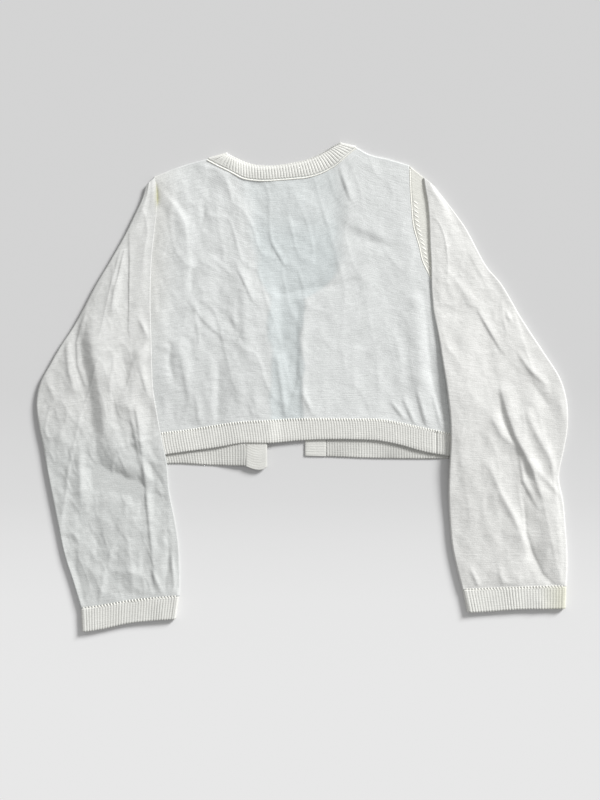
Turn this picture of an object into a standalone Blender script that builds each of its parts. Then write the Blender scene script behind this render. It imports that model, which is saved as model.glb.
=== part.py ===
"""Girl's cropped fine-knit cardigan, laid flat with its back up.

Standalone Blender 4.5 script. +X is the right of the laid garment, +Y its
neck, +Z up, and the surface it lies on is z = 0. Sizes below are millimetres.
Each cut piece is a closed wall made from a grid of mid-wall points: rows
along one way, columns along the other, moved out by half the wall each side.
"""
import math

import bmesh
import bpy
import numpy as np

MM = 0.001

# Cloth
WALL = 1.2
BAND_WALL = 1.4
RIB_HEIGHT = 0.45
SEAM_GAP = 0.3
CHORD_GAP = 0.35
LOOSE_GAP = 0.8
PANEL_MIDDLE = WALL / 2
BACK_MIDDLE = WALL + LOOSE_GAP + WALL / 2
EDGE_DROP = LOOSE_GAP - SEAM_GAP
EDGE_DROP_WIDTH = 12.0
SAG = 1.3
SAG_WIDTH = 14.0

# Front bands and what they do to the layers on them
BAND_LIFT = 2.3
LIFT_START_X = -80.0
LIFT_FULL_X = -53.0
LIFT_FALL_X = -31.0
LIFT_END_X = -18.0
LIFT_TOP_Y = 70.0
LIFT_GONE_Y = 130.0
LEFT_BAND_X = (-50.8, -31.8)
RIGHT_BAND_X = (2.3, 21.1)

# Buttons
BUTTON_X = -41.3
BUTTON_YS = (-58.0, -28.0, 2.0, 32.0, 62.0)
BUTTON_SIDES = 16
BUTTON_PROFILE = ((0.0, 0.3), (3.9, 0.3), (4.5, 0.0), (5.2, 0.0), (5.5, 0.5), (5.5, 1.5), (5.0, 2.0), (0.0, 2.0))

# Body outline: (y, x) of each side, down the armhole and the side seam
LEFT_SIDE = (
    (-70.0, -122.3), (-46.0, -127.1), (-24.0, -131.1), (-2.0, -134.8), (18.0, -135.8), (41.0, -136.4),
    (78.8, -137.3), (128.6, -135.1), (150.0, -132.6), (170.0, -131.5), (189.1, -133.7),
)
RIGHT_SIDE = (
    (-70.0, 134.5), (-45.0, 134.5), (20.0, 132.2), (64.0, 129.6), (74.0, 129.0), (90.0, 120.0),
    (103.5, 112.4), (111.8, 108.3), (128.3, 104.2), (142.0, 100.1), (168.2, 97.3), (199.6, 95.9),
)

# Shoulder lines, left then right, with a high place between that no cloth reaches: (x, y)
SHOULDERS = (
    (-133.7, 189.1), (-110.3, 198.3), (-86.2, 205.2), (-67.3, 210.2), (-50.0, 240.0), (15.0, 245.0),
    (33.1, 219.3), (47.6, 216.0), (57.7, 210.2), (76.7, 205.2), (95.9, 199.6),
)

# Neckband across the back: (seam x, seam y, free edge x, free edge y)
NECK_BACK = (
    (-85.1, 205.2, -67.3, 210.2), (-76.0, 200.2, -60.5, 206.6), (-67.3, 196.0, -54.0, 203.6),
    (-53.5, 188.9, -42.0, 199.9), (-34.5, 186.7, -27.0, 199.3), (-14.3, 188.0, -9.0, 201.8),
    (3.4, 189.7, 5.5, 205.3), (16.0, 193.4, 13.5, 208.6), (28.6, 200.2, 21.0, 212.5),
    (40.1, 210.0, 28.0, 216.9), (47.6, 216.0, 33.1, 219.3),
)
# Neckband down each front, from the shoulder to the front edge: the same columns
NECK_FRONT_LEFT = (
    (-85.1, 205.2, -67.3, 210.2), (-76.0, 180.0, -60.5, 184.0), (-68.0, 150.0, -54.0, 154.0),
    (-62.0, 120.0, -48.7, 126.0), (-57.0, 100.0, -44.5, 108.0), (-50.8, 86.0, -40.0, 96.0),
    (-43.0, 76.0, -36.5, 88.0), (-31.8, 69.0, -31.8, 82.0),
)
NECK_FRONT_RIGHT = (
    (47.6, 216.0, 33.1, 219.3), (54.0, 190.0, 40.0, 190.0), (57.0, 160.0, 43.5, 159.0),
    (55.0, 130.0, 42.0, 133.0), (47.0, 103.0, 35.5, 110.0), (35.0, 84.0, 26.0, 95.0),
    (21.1, 73.0, 15.0, 85.5), (2.3, 66.5, 2.3, 79.5),
)
NECK_RIBS = 42
NECK_TURN_STEPS = 5

# Hem ribs: (x, top y, bottom y)
BACK_HEM = (
    (-128.0, -41.6, -61.0), (-104.5, -38.9, -57.6), (-77.0, -34.6, -53.9), (-55.4, -31.6, -50.1),
    (-30.5, -30.2, -50.0), (1.4, -28.6, -47.4), (46.9, -28.9, -46.8), (67.6, -29.2, -47.8),
    (83.1, -31.5, -50.6), (112.0, -37.7, -58.4), (134.5, -42.3, -61.7),
)
FRONT_HEM_LEFT = ((-126.5, -49.4, -68.6), (-108.0, -49.6, -68.2), (-89.0, -50.0, -69.4), (-51.1, -50.8, -70.4))
FRONT_HEM_RIGHT = ((21.4, -43.0, -61.9), (62.4, -44.4, -63.5), (103.8, -45.0, -64.0), (134.2, -45.0, -64.0))
BACK_HEM_RIBS = 110
FRONT_HEM_LEFT_RIBS = 30
FRONT_HEM_RIGHT_RIBS = 47
LEFT_BAND_BOTTOM = ((-50.8, -70.8), (-43.4, -73.4), (-36.5, -73.7), (-31.8, -71.2))
RIGHT_BAND_BOTTOM = ((2.3, -61.3), (11.0, -61.6), (21.1, -61.9))

# Largest folds of the back: (x1, y1, x2, y2, height, half width), below zero for a trough
BACK_FOLDS = (
    (-130.0, 178.0, -106.0, 146.0, 1.6, 8.0),
    (-106.0, 146.0, -102.0, 101.0, 1.3, 8.0),
    (-21.0, 25.0, -16.0, -26.0, 0.9, 6.0),
    (101.0, 76.0, 106.0, 8.0, 1.2, 8.0),
    (106.0, 8.0, 114.0, -24.0, 0.8, 8.0),
    (-76.0, 4.0, -76.0, -32.0, -0.4, 8.0),
    (42.0, 139.0, 78.0, 130.0, -0.4, 8.0),
)

# Back panel's grid
BACK_ROWS = 24
BACK_COLUMN_XS = (
    -133.7, -128.0, -119.0, -110.0, -101.0, -93.0, -86.2, -80.0, -73.0, -66.0, -59.0, -53.0, -46.0,
    -39.0, -33.0, -29.5, -26.0, -22.0, -17.5, -12.0, -7.0, -2.0, 3.0, 10.0, 19.0, 28.0, 38.0, 48.6,
    57.0, 66.0, 75.0, 84.0, 91.0, 95.9,
)
FRONT_LEVELS = (
    0.0, 0.07, 0.14, 0.21, 0.27, 0.32, 0.36, 0.4, 0.44, 0.47, 0.5, 0.53, 0.56, 0.6, 0.68, 0.76, 0.84, 0.92, 1.0,
)
FRONT_LEFT_SHARES = (0.0, 0.18, 0.36, 0.52, 0.65, 0.76, 0.86, 0.94, 1.0)
FRONT_RIGHT_SHARES = (0.0, 0.1, 0.22, 0.36, 0.5, 0.64, 0.78, 0.9, 1.0)
BAND_ROWS = 14

# Sleeve walls
SLEEVE_LOW = WALL / 2
OUTER_TOP = 3.8
STRIP = BACK_MIDDLE - EDGE_DROP
TURN_HANDLE = 1.6
TURN_STEPS = 5
LOW_STEPS = 7
TOP_STEPS = 10
PLAIN_EDGE_STEPS = 7
PLAIN_EDGE_RUN = 6.0
UNDERARM_Y = 75.0
HEM_CLEAR_Y = -75.0
LANDING = 4.4
LOW_INSET = 1.2
FOLD_FADE = 9.0
WIDE_SECTION = 40.0
PUFF = 0.6
STRIP_TIP = 0.6

# Right sleeve sections, in distance to the right. seam_y and outer_y: the section's two
# ends. fold: inner edge seen from above. tuck: where the cloth under that edge turns
# back to the armhole or, below the underarm, goes down. outer: outer edge. under and
# top: heights of the two layers at the fold.
RIGHT_SLEEVE_COLUMNS = ("seam_y", "outer_y", "fold", "tuck", "outer", "under", "top")
RIGHT_SLEEVE = (
    (199.3, 180.0, 108.5, 110.4, 119.0, 4.1, 5.7),
    (186.0, 172.0, 109.8, 113.0, 125.3, 4.5, 6.1),
    (170.0, 158.0, 112.2, 117.5, 136.2, 4.5, 6.1),
    (150.0, 142.0, 113.6, 120.0, 147.5, 4.5, 6.1),
    (130.0, 124.0, 114.2, 121.0, 157.1, 4.5, 6.1),
    (112.0, 108.0, 115.2, 121.5, 166.1, 4.5, 6.1),
    (98.0, 94.0, 115.4, 122.8, 178.1, 4.5, 6.1),
    (86.0, 80.0, 115.7, 126.2, 186.8, 4.5, 6.1),
    (76.0, 66.0, 116.5, 127.4, 194.6, 4.5, 6.1),
    (64.0, 50.0, 117.4, 130.9, 204.7, 4.5, 6.1),
    (44.0, 30.0, 121.7, 132.2, 218.0, 4.5, 6.1),
    (20.0, 8.0, 125.6, 133.4, 231.8, 4.5, 6.1),
    (-4.0, -14.0, 129.4, 134.4, 238.0, 4.5, 6.1),
    (-28.0, -36.0, 132.1, 135.2, 238.5, 4.6, 6.2),
    (-50.0, -56.0, 132.7, 135.7, 235.2, 4.6, 6.2),
    (-72.0, -80.0, 131.4, 135.7, 230.7, 4.6, 6.2),
    (-94.0, -102.0, 130.8, 134.6, 234.4, 3.2, 5.2),
    (-116.0, -122.0, 131.6, 135.4, 236.3, 2.2, 4.3),
    (-142.0, -146.0, 134.0, 137.8, 238.0, STRIP, 4.1),
    (-165.0, -165.0, 139.0, 142.8, 238.1, STRIP, 4.1),
    (-181.3, -178.1, 143.5, 147.3, 237.2, STRIP, 4.1),
)
RIGHT_SLEEVE_FOLDS = (
    (140.0, 56.0, 150.0, 38.0, 1.3, 6.0),
    (182.0, -6.0, 205.0, -71.0, 1.7, 7.0),
    (205.0, -71.0, 213.0, -94.0, 1.2, 7.0),
    (202.0, -25.0, 228.0, -81.0, 1.3, 7.0),
    (172.0, -30.0, 191.0, -53.0, 0.9, 6.0),
    (201.0, -118.0, 208.0, -148.0, -1.0, 8.0),
    (208.0, -148.0, 224.0, -177.0, -1.0, 8.0),
    (168.0, -71.0, 201.0, -142.0, 1.0, 8.0),
)

# Left sleeve sections, in distance to the left. Its two layers meet along the inner
# edge, which lies beside the body, so only its places below the hem are given.
LEFT_SLEEVE_COLUMNS = ("seam_y", "outer_y", "fold", "outer")
LEFT_SLEEVE = (
    (188.8, 181.0, None, 140.6),
    (174.0, 169.0, None, 144.4),
    (158.0, 154.0, None, 151.4),
    (140.0, 136.0, None, 160.3),
    (120.0, 114.0, None, 172.8),
    (100.0, 92.0, None, 185.9),
    (80.0, 72.0, None, 196.3),
    (62.0, 54.0, None, 206.4),
    (46.0, 36.0, None, 218.3),
    (34.0, 20.0, None, 227.4),
    (17.0, 4.0, None, 235.9),
    (-2.0, -14.0, None, 239.4),
    (-24.0, -34.0, None, 237.4),
    (-46.0, -54.0, None, 233.2),
    (-68.0, -76.0, None, 229.6),
    (-92.0, -100.0, 120.1, 224.8),
    (-116.0, -124.0, 115.4, 220.0),
    (-140.0, -150.0, 111.8, 214.5),
    (-164.0, -174.0, 110.7, 206.8),
    (-187.1, -198.3, 110.6, 199.3),
)
LEFT_SLEEVE_FOLDS = (
    (155.0, 145.0, 155.0, 62.0, -0.9, 8.0),
    (168.0, 90.0, 171.0, 71.0, 1.0, 6.0),
    (190.0, 78.0, 198.0, 38.0, -0.9, 7.0),
    (212.0, 40.0, 206.0, 0.0, 1.0, 7.0),
    (145.0, 28.0, 158.0, -16.0, 1.2, 6.0),
    (149.0, -20.0, 140.0, -99.0, 1.9, 7.0),
    (140.0, -99.0, 136.0, -177.0, 1.4, 7.0),
    (186.0, -32.0, 190.0, -94.0, -1.1, 8.0),
    (200.0, -53.0, 198.0, -105.0, 0.7, 8.0),
    (173.0, -67.0, 146.0, -97.0, -0.8, 10.0),
)

# Cuffs: (share across, top x, top y, bottom x, bottom y), from the inner edge out
LEFT_CUFF = (
    (0.0, 110.6, -187.4, 113.8, -207.9), (0.27, 134.6, -189.4, 136.0, -209.4),
    (0.51, 156.0, -191.8, 157.0, -211.8), (0.78, 180.0, -196.0, 180.0, -216.9),
    (1.0, 199.3, -198.6, 198.2, -219.5),
)
RIGHT_CUFF = (
    (0.0, 143.5, -181.6, 147.9, -201.9), (0.2, 162.0, -181.0, 165.5, -201.2),
    (0.5, 190.0, -180.0, 192.0, -199.2), (0.75, 213.5, -179.2, 214.0, -198.8),
    (1.0, 237.2, -178.4, 236.4, -198.5),
)
CUFF_RIBS = 34
CUFF_TOP = 4.0
CUFF_TURN_STEPS = 4
CUFF_LOW_STEPS = 6
CUFF_ROWS = 2

# Colours: (red, green, blue), roughness
JERSEY = ((0.74, 0.755, 0.75), 0.92)
RIB = ((0.77, 0.77, 0.70), 0.92)
BUTTON = ((0.80, 0.79, 0.74), 0.35)


def smooth(share):
    """Go from 0 to 1 with level ends."""
    share = np.clip(share, 0.0, 1.0)
    return share * share * (3 - 2 * share)


def along(places, values, at):
    """Read a smooth curve through a table's rows at one or more places."""
    places = np.asarray(places, float)
    values = np.asarray(values, float)
    slopes = np.gradient(values, places)
    at = np.clip(at, places[0], places[-1])
    left = np.clip(np.searchsorted(places, at) - 1, 0, len(places) - 2)
    span = places[left + 1] - places[left]
    share = (at - places[left]) / span
    rise = smooth(share)
    bend_in = share * (1 - share) ** 2 * span
    bend_out = share ** 2 * (share - 1) * span
    base = values[left] * (1 - rise) + values[left + 1] * rise
    return base + bend_in * slopes[left] + bend_out * slopes[left + 1]


def read_table(rows, column, at, key=0):
    """Read one column of a table along another."""
    rows = np.array(rows, float)
    return along(rows[:, key], rows[:, column], at)


def fold_height(folds, x, y):
    """Add up the folds of a table at some places."""
    total = np.zeros(np.broadcast(x, y).shape)
    for x1, y1, x2, y2, height, width in folds:
        length = math.hypot(x2 - x1, y2 - y1)
        ux, uy = (x2 - x1) / length, (y2 - y1) / length
        run = (x - x1) * ux + (y - y1) * uy
        off = (x - x1) * uy - (y - y1) * ux
        past = np.maximum(np.maximum(-run, run - length), 0.0)
        total = total + height * np.exp(-(off / width) ** 2 - (past / width) ** 2)
    return total


def band_lift(x, y, falls):
    """Height that the buttons give the left front's edge and, over it, the back."""
    rise = smooth((x - LIFT_START_X) / (LIFT_FULL_X - LIFT_START_X))
    if falls:
        rise = rise * (1 - smooth((x - LIFT_FALL_X) / (LIFT_END_X - LIFT_FALL_X)))
    return BAND_LIFT * rise * (1 - smooth((y - LIFT_TOP_Y) / (LIFT_GONE_Y - LIFT_TOP_Y)))


def front_middle(x, y):
    """Height of the front layer's mid-wall."""
    return PANEL_MIDDLE + np.where(x < LIFT_END_X, band_lift(x, y, False), 0.0)


def opening_edges(y):
    """Left and right limits of the open front and neck under the back."""
    left = np.array(NECK_FRONT_LEFT[::-1])
    right = np.array(NECK_FRONT_RIGHT[::-1])
    left_x = np.where(y < left[0, 3], LEFT_BAND_X[1], along(left[:, 3], left[:, 2], y))
    right_x = np.where(y < right[0, 3], RIGHT_BAND_X[0], along(right[:, 3], right[:, 2], y))
    return left_x, right_x


def back_middle(x, y):
    """Height of the back's mid-wall, without its folds."""
    left_x, right_x = opening_edges(y)
    dip = smooth((x - left_x - 2) / SAG_WIDTH) * smooth((right_x - 2 - x) / SAG_WIDTH)
    side = np.minimum(x - read_table(LEFT_SIDE, 1, y), read_table(RIGHT_SIDE, 1, y) - x)
    shoulder = read_table(SHOULDERS, 1, x) - y
    near = 1 - smooth(np.minimum(side, shoulder) / EDGE_DROP_WIDTH)
    near = near * smooth((y + 25) / 15)
    return BACK_MIDDLE + band_lift(x, y, True) - SAG * dip - EDGE_DROP * near


def back_fold(x, y):
    """Height of the back's folds, faded out at its sides and at its top."""
    side = np.minimum(x - read_table(LEFT_SIDE, 1, y), read_table(RIGHT_SIDE, 1, y) - x)
    shoulder = read_table(SHOULDERS, 1, x) - y
    fade = smooth(side / 22) * smooth(shoulder / EDGE_DROP_WIDTH)
    return fold_height(BACK_FOLDS, x, y) * fade


def cloth(name, middle, material, up=0.0, wall=WALL, closed=False, in_section=False):
    """Make a closed wall from mid-wall points, raised by up on its outer side.

    in_section keeps each row's wall in that row's own upright section."""
    after = np.roll(middle, -1, axis=1)
    before = np.roll(middle, 1, axis=1)
    if not closed:
        after[:, -1] = middle[:, -1]
        before[:, 0] = middle[:, 0]
    across = after - before
    down = np.array([0.0, -1.0, 0.0]) if in_section else np.gradient(middle, axis=0)
    normal = np.cross(down, across)
    normal /= np.linalg.norm(normal, axis=2, keepdims=True)
    up = np.broadcast_to(np.asarray(up, float), middle.shape[:2])[..., None]
    outer = middle + normal * (wall / 2 + up)
    inner = middle - normal * (wall / 2)

    mesh = bmesh.new()
    sides = [[[mesh.verts.new(point * MM) for point in row] for row in side] for side in (outer, inner)]
    rows, columns = middle.shape[:2]
    spans = [(c, (c + 1) % columns) for c in range(columns if closed else columns - 1)]
    for r in range(rows - 1):
        for c, d in spans:
            top, low = sides
            mesh.faces.new((top[r][c], top[r + 1][c], top[r + 1][d], top[r][d]))
            mesh.faces.new((low[r][d], low[r + 1][d], low[r + 1][c], low[r][c]))
    for r, turned in ((0, False), (rows - 1, True)):
        for c, d in spans:
            rim = (sides[0][r][c], sides[0][r][d], sides[1][r][d], sides[1][r][c])
            mesh.faces.new(rim[::-1] if turned else rim)
    if not closed:
        for c, turned in ((0, True), (columns - 1, False)):
            for r in range(rows - 1):
                rim = (sides[0][r][c], sides[0][r + 1][c], sides[1][r + 1][c], sides[1][r][c])
                mesh.faces.new(rim[::-1] if turned else rim)
    bmesh.ops.recalc_face_normals(mesh, faces=mesh.faces)
    data = bpy.data.meshes.new(name)
    mesh.to_mesh(data)
    mesh.free()
    piece = bpy.data.objects.new(name, data)
    bpy.context.collection.objects.link(piece)
    data.materials.append(material)
    return piece


def make_material(name, look):
    """Make a Principled material from a colour and a roughness."""
    colour, roughness = look
    material = bpy.data.materials.new(name)
    material.use_nodes = True
    shader = material.node_tree.nodes["Principled BSDF"]
    shader.inputs["Base Color"].default_value = (*colour, 1.0)
    shader.inputs["Roughness"].default_value = roughness
    shader.inputs["Metallic"].default_value = 0.0
    material.diffuse_color = (*colour, 1.0)
    return material


def make_back():
    """The back: columns from side to side, rows from the shoulders to the hem."""
    columns = np.array(BACK_COLUMN_XS)
    shares = (columns - columns[0]) / (columns[-1] - columns[0])
    neck = np.array(NECK_BACK)
    in_neck = (columns > neck[0, 0]) & (columns < neck[-1, 0])
    slope = along(neck[:, 0], np.gradient(neck[:, 1], neck[:, 0]), columns)
    neckline = along(neck[:, 0], neck[:, 1], columns) - (SEAM_GAP + CHORD_GAP) * np.hypot(1, slope)
    top = np.where(in_neck, neckline, read_table(SHOULDERS, 1, columns))
    hem_x = -128.0 + shares * (134.5 + 128.0)
    bottom = read_table(BACK_HEM, 1, hem_x) + SEAM_GAP
    levels = np.linspace(0.0, 1.0, BACK_ROWS)[:, None]
    y = top + levels * (bottom - top)
    left, right = read_table(LEFT_SIDE, 1, y), read_table(RIGHT_SIDE, 1, y)
    x = left + shares * (right - left)
    z = back_middle(x, y) + back_fold(x, y)
    return cloth("back", np.stack([x, y, z], axis=2), make_material("back_jersey", JERSEY))


def strip_edge(table, column, steps=120):
    """Places along the seam edge (column 0) or the free edge (column 2) of a neckband table."""
    rows = np.array(table)
    at = np.linspace(0.0, 1.0, steps)
    places = np.linspace(0.0, 1.0, len(rows))
    return along(places, rows[:, column], at), along(places, rows[:, column + 1], at)


def make_fronts():
    """Both fronts: the neckline and the band's seam are one edge, the armhole and side the other."""
    for name, shares, neck, side, bottom_rows in (
        ("front_left", FRONT_LEFT_SHARES, NECK_FRONT_LEFT, LEFT_SIDE, FRONT_HEM_LEFT),
        ("front_right", FRONT_RIGHT_SHARES, NECK_FRONT_RIGHT, RIGHT_SIDE, FRONT_HEM_RIGHT),
    ):
        is_left = name == "front_left"
        shares = np.array(shares)
        neck_point, shoulder_tip = neck[0][0], side[-1][1]
        top_x = shoulder_tip + shares * (neck_point - shoulder_tip)
        if not is_left:
            top_x = neck_point + shares * (shoulder_tip - neck_point)
        top = read_table(SHOULDERS, 1, top_x)
        hem = np.array(bottom_rows)
        bottom = along(hem[:, 0], hem[:, 1], hem[0, 0] + shares * (hem[-1, 0] - hem[0, 0])) + SEAM_GAP
        levels = np.array(FRONT_LEVELS)[:, None]
        y = top + levels * (bottom - top)
        seam_x, seam_y = strip_edge(neck, 0)
        free = np.interp(y, seam_y[::-1], seam_x[::-1])
        if is_left:
            free = np.minimum(free - SEAM_GAP - CHORD_GAP, LEFT_BAND_X[0] - SEAM_GAP)
        else:
            free = np.maximum(free + SEAM_GAP + 2 * CHORD_GAP, RIGHT_BAND_X[1] + SEAM_GAP)
        edge = read_table(side, 1, y)
        x = edge + shares * (free - edge) if is_left else free + shares * (edge - free)
        z = front_middle(x, y)
        cloth(name, np.stack([x, y, z], axis=2), make_material(name + "_jersey", JERSEY))


def ribbed(count):
    """Shares along a strip, and the raise of its outer points, for a number of ribs."""
    shares = np.linspace(0.0, 1.0, 2 * count + 1)
    raised = np.where(np.arange(2 * count + 1) % 2 == 1, RIB_HEIGHT, 0.0)
    return shares, raised


def make_hem_ribs():
    """The back's hem rib, and the two that show their insides below it."""
    for name, table, count in (
        ("back_hem_rib", BACK_HEM, BACK_HEM_RIBS),
        ("front_left_hem_rib", FRONT_HEM_LEFT, FRONT_HEM_LEFT_RIBS),
        ("front_right_hem_rib", FRONT_HEM_RIGHT, FRONT_HEM_RIGHT_RIBS),
    ):
        rows = np.array(table)
        shares, raised = ribbed(count)
        x, y = [], []
        for column in (1, 2):
            start = max(rows[0, 0], float(read_table(LEFT_SIDE, 1, rows[0, column])))
            x.append(start + shares * (rows[-1, 0] - start))
            y.append(along(rows[:, 0], rows[:, column], x[-1]))
        x, y = np.array(x), np.array(y)
        z = back_middle(x, y) if name == "back_hem_rib" else front_middle(x, y)
        cloth(name, np.stack([x, y, z], axis=2), make_material(name + "_knit", RIB), up=raised)


def make_front_bands():
    """The two smooth front bands, each from the hem to the neckband."""
    for name, limits, neck, bottom_rows in (
        ("button_band", LEFT_BAND_X, NECK_FRONT_LEFT, LEFT_BAND_BOTTOM),
        ("buttonhole_band", RIGHT_BAND_X, NECK_FRONT_RIGHT, RIGHT_BAND_BOTTOM),
    ):
        rows = np.array(sorted(neck))
        x = np.linspace(limits[0], limits[1], 5)
        top = along(rows[:, 0], rows[:, 1], x) - 2 * SEAM_GAP
        bottom = read_table(bottom_rows, 1, x)
        levels = np.linspace(0.0, 1.0, BAND_ROWS)[:, None]
        y = top + levels * (bottom - top)
        x = x + 0 * y
        z = front_middle(x, y) + (BAND_WALL - WALL) / 2
        cloth(name, np.stack([x, y, z], axis=2), make_material(name + "_knit", RIB), wall=BAND_WALL)


def neck_turn(pair, z_from, z_to):
    """Columns of the neckband's fold over a shoulder: a half turn beyond the shoulder line."""
    seam, free = np.array(pair[:2]), np.array(pair[2:])
    way = (free - seam) / np.linalg.norm(free - seam)
    out = np.array([-way[1], way[0]])
    out = out if out[1] > 0 else -out
    radius = abs(z_from - z_to) / 2
    columns = []
    for step in range(1, NECK_TURN_STEPS + 1):
        angle = math.pi * step / (NECK_TURN_STEPS + 1)
        z = (z_from + z_to) / 2 + (z_from - z_to) / 2 * math.cos(angle)
        columns.append([(*(place + out * radius * math.sin(angle)), z) for place in (seam, free)])
    return columns


def make_neckband():
    """One strip: up the left front, over the shoulder, across the back and down the right front."""
    shares, raised = ribbed(NECK_RIBS)
    rows = np.array(NECK_BACK)
    steps = np.linspace(0.0, 1.0, len(rows))
    read = [along(steps, rows[:, column], shares) for column in range(4)]
    back = []
    for seam_x, seam_y, free_x, free_y in zip(*read):
        back.append([(px, py, float(back_middle(px, py))) for px, py in ((seam_x, seam_y), (free_x, free_y))])

    fronts = []
    for table in (NECK_FRONT_LEFT, NECK_FRONT_RIGHT):
        rows = np.array(table)
        steps = np.linspace(0.0, 1.0, len(rows))
        read = [along(steps, rows[:, column], np.linspace(0.0, 1.0, 2 * len(rows) - 1)) for column in range(4)]
        columns = []
        for seam_x, seam_y, free_x, free_y in zip(*read):
            places = ((seam_x, seam_y), (free_x, free_y))
            columns.append([(px, py, float(front_middle(px, py))) for px, py in places])
        fronts.append(columns)
    left, right = fronts
    left_turn = neck_turn(NECK_BACK[0], left[0][0][2], back[0][0][2])
    right_turn = neck_turn(NECK_BACK[-1], back[-1][0][2], right[0][0][2])
    columns = left[::-1] + left_turn + back + right_turn + right
    up = np.zeros(len(columns))
    start = len(left) + len(left_turn)
    up[start:start + len(raised)] = raised
    middle = np.array(columns).transpose(1, 0, 2)[::-1]
    return cloth("neckband", middle, make_material("neckband_knit", RIB), up=up)


def curve_between(start, start_handle, end_handle, end, steps):
    """Points on a Bezier curve, its ends left out."""
    places = [np.array(place, float) for place in (start, start_handle, end_handle, end)]
    points = []
    for step in range(1, steps + 1):
        t = step / (steps + 1)
        weights = ((1 - t) ** 3, 3 * t * (1 - t) ** 2, 3 * t ** 2 * (1 - t), t ** 3)
        points.append(sum(weight * place for weight, place in zip(weights, places)))
    return points


def straight(start, end, steps):
    """Evenly spaced points from one place to another, both kept."""
    return [np.array(start, float) * (1 - t) + np.array(end, float) * t for t in np.linspace(0, 1, steps)]


def sleeve_run(section, inner_start):
    """Section points of a sleeve's underside, outer edge and top, from the inner end round."""
    radius = (OUTER_TOP - SLEEVE_LOW) / 2
    centre = section["outer"] - WALL / 2 - radius
    points = straight((section["low"], SLEEVE_LOW), (centre, SLEEVE_LOW), LOW_STEPS)
    for step in range(1, TURN_STEPS + 1):
        angle = math.pi * step / (TURN_STEPS + 1)
        place = (centre + radius * math.sin(angle), SLEEVE_LOW + radius - radius * math.cos(angle))
        points.append(np.array(place))
    for place in straight((centre, OUTER_TOP), inner_start, TOP_STEPS):
        width = centre - inner_start[0]
        share = (centre - place[0]) / width
        wide = min(1.0, width / WIDE_SECTION)
        level = OUTER_TOP + (inner_start[1] - OUTER_TOP) * smooth((share - 0.35 * wide) / (1 - 0.35 * wide))
        points.append(np.array((place[0], level + PUFF * wide * math.sin(math.pi * share))))
    return points


def tucked_edge(section):
    """The right sleeve's inner edge: folded over the armhole seam, with a tuck beneath."""
    beside = float(read_table(RIGHT_SIDE, 1, section["seam_y"])) + SEAM_GAP + CHORD_GAP
    section["low"] = beside if section["seam_y"] > HEM_CLEAR_Y else section["fold"] + LOW_INSET
    sewn = section["seam_y"] > UNDERARM_Y
    land_x = section["tuck"] if sewn else section["tuck"] + LANDING
    section["seam"] = beside if sewn else land_x + 1
    if sewn and land_x - beside < 2:
        land_x = section["seam"]

    radius = (section["top"] - section["under"]) / 2
    centre = section["fold"] + WALL / 2 + radius
    points = [np.array((centre, section["top"]))]
    for step in range(1, TURN_STEPS + 1):
        angle = math.pi * step / (TURN_STEPS + 1)
        points.append(np.array((centre - radius * math.sin(angle),
                                section["under"] + radius + radius * math.cos(angle))))
    tuck = (section["tuck"], section["under"])
    points += straight((centre, section["under"]), tuck, 2)
    turned = float(np.clip(land_x - section["seam"], -1, 1))
    land = (land_x, STRIP + STRIP_TIP * (1 - abs(turned)))
    steep = 1 - abs(turned)
    handle = TURN_HANDLE * (1 - steep / 2)
    points += curve_between(tuck, (tuck[0] + handle, tuck[1]), (land_x + turned * handle, land[1] + steep * handle),
                            land, TURN_STEPS)
    points += straight(land, (section["seam"], STRIP), 3)
    return points


def plain_edge(section):
    """The left sleeve's inner edge: the top layer comes down to the seam above the low one."""
    if section["fold"] is None:
        beside = -float(read_table(LEFT_SIDE, 1, section["seam_y"]))
        section["fold"] = beside + SEAM_GAP + CHORD_GAP
    section["seam"] = section["low"] = section["fold"]
    run = min(PLAIN_EDGE_RUN, 0.42 * (section["outer"] - section["fold"]))
    start = (section["fold"] + run, OUTER_TOP)
    end = (section["seam"], STRIP)
    points = [np.array(start)]
    points += curve_between(start, (start[0] - run / 2, start[1]), (end[0] + run / 3, end[1] + 0.2), end,
                            PLAIN_EDGE_STEPS)
    points.append(np.array(end))
    return points


def make_sleeve(name, table, columns, folds, cuff, edge, side):
    """A sleeve: its sections from the shoulder to the cuff, with its folds on top."""
    sections = []
    for number, row in enumerate(table):
        section = dict(zip(columns, row))
        inner = edge(section)
        points = np.array(sleeve_run(section, inner[0]) + inner[1:])
        x, z = points[:, 0], points[:, 1].copy()
        share = (x - section["seam"]) / (section["outer"] - section["seam"])
        y = section["seam_y"] + share * (section["outer_y"] - section["seam_y"])
        if number == len(table) - 1:
            rows = np.array(cuff)
            y = along(rows[:, 1], rows[:, 2], x) + SEAM_GAP
        on_top = np.arange(len(x))
        first = LOW_STEPS + TURN_STEPS
        on_top = (on_top >= first) & (on_top < first + TOP_STEPS)
        room = np.minimum(section["outer"] - x, x - section["fold"])
        fade = smooth(room / FOLD_FADE) * on_top
        ends = smooth(number / 2) * smooth((len(table) - 1 - number) / 1.5 + 0.4)
        z = z + fold_height(folds, x, y) * fade * ends
        sections.append(np.stack([side * x, y, z], axis=1))
    middle = np.array(sections)
    if side > 0:
        middle = middle[:, ::-1]
    return cloth(name, middle, make_material(name + "_jersey", JERSEY), in_section=True)


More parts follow.
